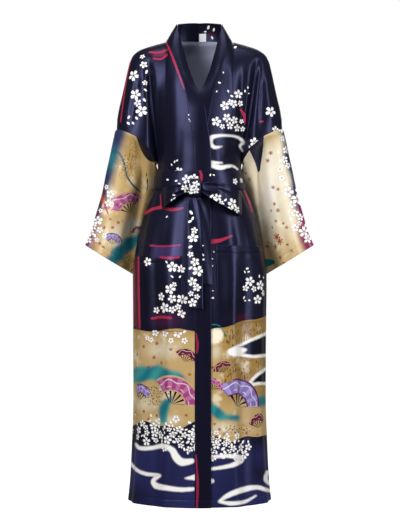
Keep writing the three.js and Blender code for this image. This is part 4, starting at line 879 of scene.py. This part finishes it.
# ------------------------------------------------------------------ materials
class Ink:
    """A shader value that reads like arithmetic."""
    tree = None

    def __init__(self, socket):
        self.socket = socket

    @staticmethod
    def node(kind, values=(), out=0, **props):
        n = Ink.tree.nodes.new(kind)
        for key, value in props.items():
            setattr(n, key, value)
        for key, value in dict(values).items():
            if isinstance(value, Ink):
                Ink.tree.links.new(value.socket, n.inputs[key])
            else:
                n.inputs[key].default_value = value
        return Ink(n.outputs[out])

    def math(self, op, *others, clamp=False):
        return Ink.node("ShaderNodeMath", enumerate((self, *others)), operation=op, use_clamp=clamp)

    def __add__(self, o): return self.math("ADD", o)
    def __sub__(self, o): return self.math("SUBTRACT", o)
    def __mul__(self, o): return self.math("MULTIPLY", o)

    def equals(self, code):
        return self.math("COMPARE", code, 0.4)

    def ramp(self, low, high):
        return Ink.node("ShaderNodeMapRange", {0: self, 1: low, 2: high, 3: 0.0, 4: 1.0},
                        interpolation_type="SMOOTHSTEP")

    def parts(self):
        split = Ink.node("ShaderNodeSeparateXYZ", {0: self}).socket.node
        return [Ink(s) for s in split.outputs]

    def over(self, top, amount):
        """This colour with another laid over it."""
        return mixed(self, top, amount)


def mixed(first, second, amount):
    ends = {key: c if isinstance(c, Ink) else (*c, 1) for key, c in ((6, first), (7, second))}
    return Ink.node("ShaderNodeMix", {0: amount, **ends}, out=2, data_type="RGBA")


def attribute(name, out="Vector"):
    return Ink.node("ShaderNodeAttribute", out=out, attribute_name=name)


def noise(place, scale, detail=2.0, stretch=None):
    if stretch:
        place = Ink.node("ShaderNodeMapping", {0: place, 3: stretch})
    return Ink.node("ShaderNodeTexNoise", {"Vector": place, "Scale": scale, "Detail": detail})


def motif_inks(colour, motif):
    """Blossoms, petals, leaves and folding fans over the ground."""
    x, y, kind = motif.parts()
    r = (x * x + y * y).math("SQRT")
    angle = y.math("ARCTAN2", x)
    lobes = (angle * 2.5).math("COSINE").math("ABSOLUTE")
    edge = lobes.math("POWER", 0.5) - lobes.ramp(0.965, 1.0) * 0.13
    flower = kind.equals(1.0)
    petals = (edge - r).ramp(-0.02, 0.07) * (lobes - 0.33).ramp(-0.05, 0.1) * r.ramp(0.1, 0.17)
    # dark ground round the petals, so that they read on pale cloth too
    colour = colour.over(lin(34, 24, 40), (edge - r).ramp(-0.2, 0.0) * flower * 0.45)
    colour = colour.over(mixed(lin(196, 190, 196), PEARL, r.ramp(0.1, 0.5)), petals * flower)
    oval = (x * x * 3.2 + y * y).math("SQRT")
    colour = colour.over(PEARL, oval.ramp(0.95, 0.8) * kind.equals(2.0))
    # maple leaves with seven points
    points = (angle * 3.5).math("COSINE").math("ABSOLUTE").math("POWER", 2.2) * 0.75 + 0.24
    colour = colour.over(lin(140, 46, 26), (points - r).ramp(-0.03, 0.06) * kind.equals(3.0))
    # folding fans: a spread of ribs, in three dyes
    fan_angle = x.math("ARCTAN2", y)
    ribs = (fan_angle * 15.0).math("SINE")
    waves = (r * 26.0 + (fan_angle * 8.0).math("SINE") * 1.4).math("SINE").ramp(0.82, 0.95)
    for code, main, second, trim in (
            (4.0, MAGENTA, lin(196, 120, 160), GOLD), (5.0, LILAC, lin(176, 160, 208), MAROON),
            (6.0, MAROON * 1.2, lin(120, 30, 52), GOLD)):
        here = kind.equals(code) * fan_angle.math("ABSOLUTE").ramp(1.12, 1.1)
        sheet = here * r.ramp(0.98, 0.965) * r.ramp(0.44, 0.455)
        rim = sheet * (r.ramp(0.9, 0.915) + r.ramp(0.5, 0.485)).math("MINIMUM", 1.0)
        colour = colour.over(main, sheet).over(second, sheet * ribs.ramp(-0.1, 0.3) * 0.55)
        colour = colour.over(trim, rim * 0.9)
        colour = colour.over(PEARL, sheet * waves * r.ramp(0.56, 0.6) * r.ramp(0.88, 0.84) * 0.55)
        sticks = here * r.ramp(0.47, 0.45) * r.ramp(0.03, 0.05) * ribs.ramp(0.1, 0.5)
        colour = colour.over(BLACKISH * 1.5, sticks)
    return colour


def cloth(name):
    """A new material, with its shader's inputs and its object coordinates."""
    mat = bpy.data.materials.new(name)
    mat.use_nodes = True
    Ink.tree = mat.node_tree
    return mat, Ink.tree.nodes["Principled BSDF"].inputs, Ink.node("ShaderNodeTexCoord", out="Object")


def finish_cloth(inputs, colour, rough, height, strength, distance):
    relief = Ink.node("ShaderNodeBump", {"Height": height, "Strength": strength, "Distance": distance})
    for key, ink in (("Base Color", colour), ("Roughness", rough), ("Normal", relief)):
        Ink.tree.links.new(ink.socket, inputs[key])


def satin(name, tint, rough, level, inside=False):
    mat, inputs, place = cloth(name)
    sd1, sd2, sd3 = attribute("edges").parts()
    fleck, speck, reeds = attribute("scatter").parts()
    wander = (noise(place, 70.0, 3.0) - 0.5) * 3.4
    colour = attribute("ground", "Color").over(attribute("ink_a", "Color"), (sd1 + wander).ramp(-0.5, 0.9))
    mottle = noise(place, 26.0, 3.0).ramp(0.52, 0.72)
    colour = colour.over(lin(244, 232, 206), mottle * (fleck + speck).math("MINIMUM", 1.0) * 0.55)
    blades = noise(place, 1.0, 2.0, (300.0, 300.0, 90.0)).ramp(0.53, 0.61)
    colour = colour.over(lin(70, 56, 30), blades * noise(place, 40.0).ramp(0.36, 0.5) * reeds * 0.85)
    # small dark specks
    cells = Ink.node("ShaderNodeTexVoronoi", {"Vector": place, "Scale": 170.0, "Randomness": 1.0})
    specks = cells.ramp(0.4, 0.3) * speck * noise(place, 60.0).ramp(0.3, 0.5)
    colour = colour.over(lin(54, 40, 26), specks * 0.9)
    colour = colour.over(attribute("ink_b", "Color"), (sd2 + wander * 0.22).ramp(-0.6, 0.8))
    colour = colour.over(PEARL, (sd3 + wander * 0.6).ramp(-3.0, 3.2) * 0.97)
    colour = motif_inks(colour, attribute("motif"))
    threads = noise(place, 1.0, 2.0, (2600.0, 2600.0, 240.0))
    if inside:
        colour = colour.over(lin(176, 180, 206), 0.82).over((0.02, 0.02, 0.03), threads * 0.25)
    else:
        colour = colour.over(BLACKISH, (threads - 0.35).math("MULTIPLY", 0.16, clamp=True))
    sheen = noise(place, 9.0, 3.0, (5.0, 5.0, 1.0))
    soft = noise(place, 90.0, 2.0, (1.0, 1.0, 0.3))
    finish_cloth(inputs, colour, threads * 0.1 + sheen * 0.1 + (rough - 0.1),
                 soft * 0.8 + threads * 0.25, 0.14, 0.0006)
    inputs["Specular Tint"].default_value = (*tint, 1)
    inputs["Specular IOR Level"].default_value = level
    return mat


def plain(name, colour, rough):
    mat, inputs, place = cloth(name)
    weave = noise(place, 1.0, 2.0, (1500.0, 1500.0, 900.0))
    finish_cloth(inputs, mixed([c * 0.86 for c in colour], colour, weave), weave * 0.15 + rough,
                 weave, 0.3, 0.0003)
    return mat


navy = satin("navy_print_satin", (0.44, 0.48, 1.0), 0.33, 0.29)
cream = satin("gold_print_satin", (0.95, 0.94, 0.96), 0.38, 0.5)
wrong = satin("satin_wrong_side", (0.8, 0.82, 1.0), 0.6, 0.2, inside=True)
white = plain("label_tape", (0.84, 0.84, 0.86), 0.65)

# ------------------------------------------------------------------ the pieces
for name in SIDES:
    flip = name == "right"
    shell("satin_front_" + name, [(UP_FRONT[name], flip), (LOW_FRONT[name], flip)], WALL, navy, wrong)
    shell("satin_sleeve_" + name, [(sleeve_grid(name), flip)], WALL, cream, wrong)
back_grids = [(grid[name], name == "left") for name in SIDES for grid in (UP_BACK, LOW_BACK)]
shell("satin_back", back_grids, WALL, navy, wrong)
shell("satin_neck_band", [(band_grid(), True)], BAND_WALL, navy, navy, 0.3)

# pockets, with a stitch line below the top hem
for name, side in SIDES.items():
    top_in, top_out, bottom_in, bottom_out = POCKETS[name]
    down = steps(0, 1, 48, (0.004, 0.01, 0.085, 0.093, 0.101))[:, None]
    across = steps(0, 1, 40, (0.004, 0.012))[None, :]
    z = mix(mix(top_in, top_out, across), mix(bottom_in, bottom_out, across), down)
    bulge = 7 * np.sin(math.pi * across) ** 0.7 * (1 - down) ** 0.8
    bulge = bulge - 0.8 * bell(down - 0.093, 0.007) + 0.5 * smooth(0.093, 0.06, down)
    bulge = bulge + 0.5 * np.sin(across * 26) * bell(down - 0.12, 0.05)
    grid = moved_out(side, front_column_phi(1 + 6 * across, z), z, 2.05 + bulge)
    shell("satin_pocket_" + name, [(grid, name == "right")], 0.8, navy, wrong, 0.6)

# the sash round the waist
heights = steps(BELT_TOP, BELT_LOW, 12, (0.02, 0.06))[:, None]
half_turn = np.concatenate([np.linspace(-90, 90, 81), np.linspace(90, 270, 81)[1:]])[None, :]
phi = wrapped(half_turn)
near = np.where(np.abs(phi) < 90, smooth(80, 22, np.abs(phi)), 0)
belt = moved_out(1, phi, heights, 1.8 + 0.5 + near * (LAP + 1.1) + 0.25 * np.abs(heights + 398) / 25)
belt[:, -1] = belt[:, 0]
belt[..., 1] += lap_at(1, belt[..., 0], belt[..., 2])
shell("satin_belt", [(belt, False)], SASH_WALL, navy, navy)

# the bow's loops, out along the front layer and back along the rear one
for name, side in SIDES.items():
    reach = BOW[name][-1][0]
    share = steps(-0.5, 0.5, 14, (0.02, 0.06))[:, None]
    run = np.linspace(0, 1, 41) ** 0.8 * reach
    outs = np.concatenate([run, run[-2::-1]])[None, :]
    middle, strip, bulge, stand = (read(outs) for read in readers(BOW[name], 1, 2, 3, 4))
    turn_back = [*np.linspace(1, 0.3, 5), -0.2, -0.5, -0.8]
    face = np.concatenate([np.full(36, 1.0), turn_back, np.full(37, -1.0)])[None, :]
    x = KNOT_X + side * (outs + 14) + 0 * share
    z = middle - share * strip
    y = np.minimum(front_face(x, z), front_face(x, middle + 0 * share)) - stand
    y = y - np.where(face > 0, 2.2 * (bulge * (1 - 0.3 * np.abs(share))) * face, 0)
    y = y - np.clip(face, 0, 1) * smooth(4, 22, outs) * smooth(1.1, 0.35, outs / reach) * (
        2.2 * np.sin(share * 12 + 0.6 + outs / 50) + 1.2 * np.sin(share * 21 - outs / 30))
    shell("satin_bow_" + name, [(np.stack([x, y, z], -1), name == "right")], 1.4, navy, navy, 0.4)

# the sash's ends
for name, rows in TAILS.items():
    z = np.linspace(rows[0][0], rows[-1][0], 75)[:, None]
    share = steps(0, 1, 10, (0.03, 0.08))[None, :]
    left, right, stand = (read(z) for read in readers(rows, 1, 2, 3))
    x = mix(left, right, share)
    y = front_face(x, z + 0 * x) - stand + 1.6 * np.sin(2 * math.pi * share + z / 60)
    shell("satin_tail_" + name, [(np.stack([x, y, z + 0 * x], -1), False)], SASH_WALL, navy, navy)

# knot
share = np.linspace(-0.5, 0.5, 17)[:, None]
angle = np.linspace(0, 2 * math.pi, 65)[None, :]
pinch = 1 - 0.16 * np.cos(math.pi * share) ** 2
rear = float(front_face(KNOT_X, KNOT_Z)) - 0.4 - 1.2
fold = 1.3 * np.sin(share * 13 + 1.6 * np.cos(angle) + 0.4) + 0.8 * np.sin(share * 23 - 2.2 * np.cos(angle))
y = rear - 13.5 * pinch + 13.5 * pinch * np.cos(angle) + fold * np.cos(angle) * (angle > 0) - 0.9
z = KNOT_Z + 25 * np.sign(np.sin(angle)) * np.abs(np.sin(angle)) ** 0.8 + 0 * share
z = z + 2.2 * np.cos(angle) * share * np.sin(angle) ** 2
knot = np.stack([KNOT_X + share * 32 + 0 * angle, y, z], -1)
knot[:, -1] = knot[:, 0]
shell("satin_knot", [(knot, True)], SASH_WALL, navy, navy, 0.4, "belt_knot")

# label, on the curve of the collar's inner face
x = np.linspace(-1, 19, 11)[None, :]
z = np.linspace(34, 11, 13)[:, None]
share = np.clip((z - NECK_RISE + 0.2) / 51, 0, 1)
neck_x = x
for _ in range(5):
    neck_x = x + collar_in(neck_x) * share
neck_line = UP_BACK["left"][0]
y = np.interp(neck_x, neck_line[:, 0], neck_line[:, 1]) + collar_back(neck_x) * share
y = y + 3 * np.sin(math.pi * share) - 2.1
shell("tape_label", [(np.stack([x + 0 * z, y, z + 0 * x], -1), False)], 0.6, white, white, 0.0,
      "label")

PRINTS = [(part + "_" + side, where + ("_" + side) * (part == "sleeve")) for part, where in (
    ("front", "front"), ("pocket", "front"), ("bow", "plain"), ("sleeve", "sleeve")) for side in SIDES]
PRINTS += [("neck_band", "band"), ("belt", "belt")]
PRINTS += [(part, "plain") for part in ("tail_front", "tail_rear", "knot")]
for name, where in PRINTS:
    piece = "satin_" + name
    marks = place_motifs(piece, MOTIFS[name], toward=-1 if where == "band" else 1)
    if "sleeve" in where:
        marks += place_motifs(piece, [(401 - x, y, r, k) for x, y, r, k in MOTIFS[name]], back=True)
    if where == "belt":
        marks += place_motifs(piece, cluster(32, 18, "150 182, 190 178, 240 183", 4, 2.2, 4.6), back=True)
    printed(piece, where, marks)
printed("satin_back", "back", place_motifs("satin_back", MOTIFS["back"], back=True), back=True)


def arcs(grid, axis):
    return np.linalg.norm(np.diff(grid, axis=axis), axis=2).sum(axis) / 1000


HANGS = {"belt": ("gathered", ["satin_back"]), "knot": ("folded", ["satin_belt"])}
for name in SIDES:
    HANGS["sleeve_" + name] = ("hung", ["satin_front_" + name, "satin_back"])
    HANGS["pocket_" + name] = ("hung", ["satin_front_" + name])
    HANGS["bow_" + name] = ("folded", ["satin_knot"])
for name in TAILS:
    HANGS["tail_" + name] = ("hung", ["satin_knot"])
for name, piece in PIECES.items():
    grids = [g for g, _ in piece["grids"]]
    wide = max(arcs(g, 1).max() for g in grids) * (2 if name == "satin_back" else 1)
    long = arcs(grids[0], 0)
    if len(grids) > 1:
        long = long[:len(grids[1][0])] + arcs(grids[1], 0)
    held, rests = HANGS.get(name[6:], ("hung", ["satin_neck_band"] if name == "tape_label" else []))
    area = float(min(piece["area"], 0.999 * wide * long.max()))

# ------------------------------------------------------------------ stage, light, camera
scene = bpy.context.scene
WHITE = (1, 1, 1, 1)

mesh = bpy.data.meshes.new("floor")
corners = [math.pi * k / 24 for k in range(48)]
mesh.from_pydata([(9 * math.cos(a), 9 * math.sin(a), -1.46) for a in corners], [], [list(range(48))])
pale = bpy.data.materials.new("pale_floor")
pale.use_nodes = True
for key, value in (("Base Color", (0.2, 0.2, 0.2, 1)), ("Roughness", 1), ("Emission Color", WHITE),
                   ("Emission Strength", 0.97)):
    pale.node_tree.nodes["Principled BSDF"].inputs[key].default_value = value
mesh.materials.append(pale)
floor = bpy.data.objects.new("floor", mesh)
scene.collection.objects.link(floor)
floor.visible_diffuse = floor.visible_glossy = False

for name, place, height, size, power in (
        ("key", (-1.7, -2.6, 0.5), -0.6, (1.0, 2.2), 95), ("side", (2.2, -1.9, 0.0), -0.6, (0.5, 2.4), 60),
        ("top", (0, -0.8, 2.2), -0.6, (2.0, 1.4), 40), ("back", (0.3, 2.4, 0.9), -0.5, (2.0, 2.0), 60)):
    data = bpy.data.lights.new(name, "AREA")
    data.shape = "RECTANGLE"
    data.size, data.size_y = size
    data.energy = power
    light = bpy.data.objects.new(name, data)
    scene.collection.objects.link(light)
    light.location = place
    light.rotation_euler = (Vector((0, 0, height)) - Vector(place)).to_track_quat("-Z", "Y").to_euler()

# The world is white to the camera, and dim to everything else.
scene.world = bpy.data.worlds.new("studio")
scene.world.use_nodes = True
tree = scene.world.node_tree
seen, dim = tree.nodes["Background"], tree.nodes.new("ShaderNodeBackground")
for background, strength in ((seen, 1.0), (dim, 0.16)):
    background.inputs[0].default_value = WHITE
    background.inputs[1].default_value = strength
pick = tree.nodes.new("ShaderNodeMixShader")
rays = tree.nodes.new("ShaderNodeLightPath")
for k, source in enumerate((rays.outputs["Is Camera Ray"], dim.outputs[0], seen.outputs[0])):
    tree.links.new(source, pick.inputs[k])
tree.links.new(pick.outputs[0], tree.nodes["World Output"].inputs[0])
scene.view_settings.view_transform = "Standard"

VIEW_HEIGHT, SENSOR = 1.514, 24
camera_data = bpy.data.cameras.new("camera")
camera = bpy.data.objects.new("camera", camera_data)
scene.collection.objects.link(camera)
scene.camera = camera
camera.location = (0.0014, -EYE_AWAY / 1000, EYE_Z / 1000)
camera.rotation_euler = (math.pi / 2, 0, 0)
camera_data.sensor_fit = "VERTICAL"
camera_data.sensor_height = SENSOR
camera_data.lens = SENSOR * EYE_AWAY / 1000 / VIEW_HEIGHT
camera_data.clip_end = 50
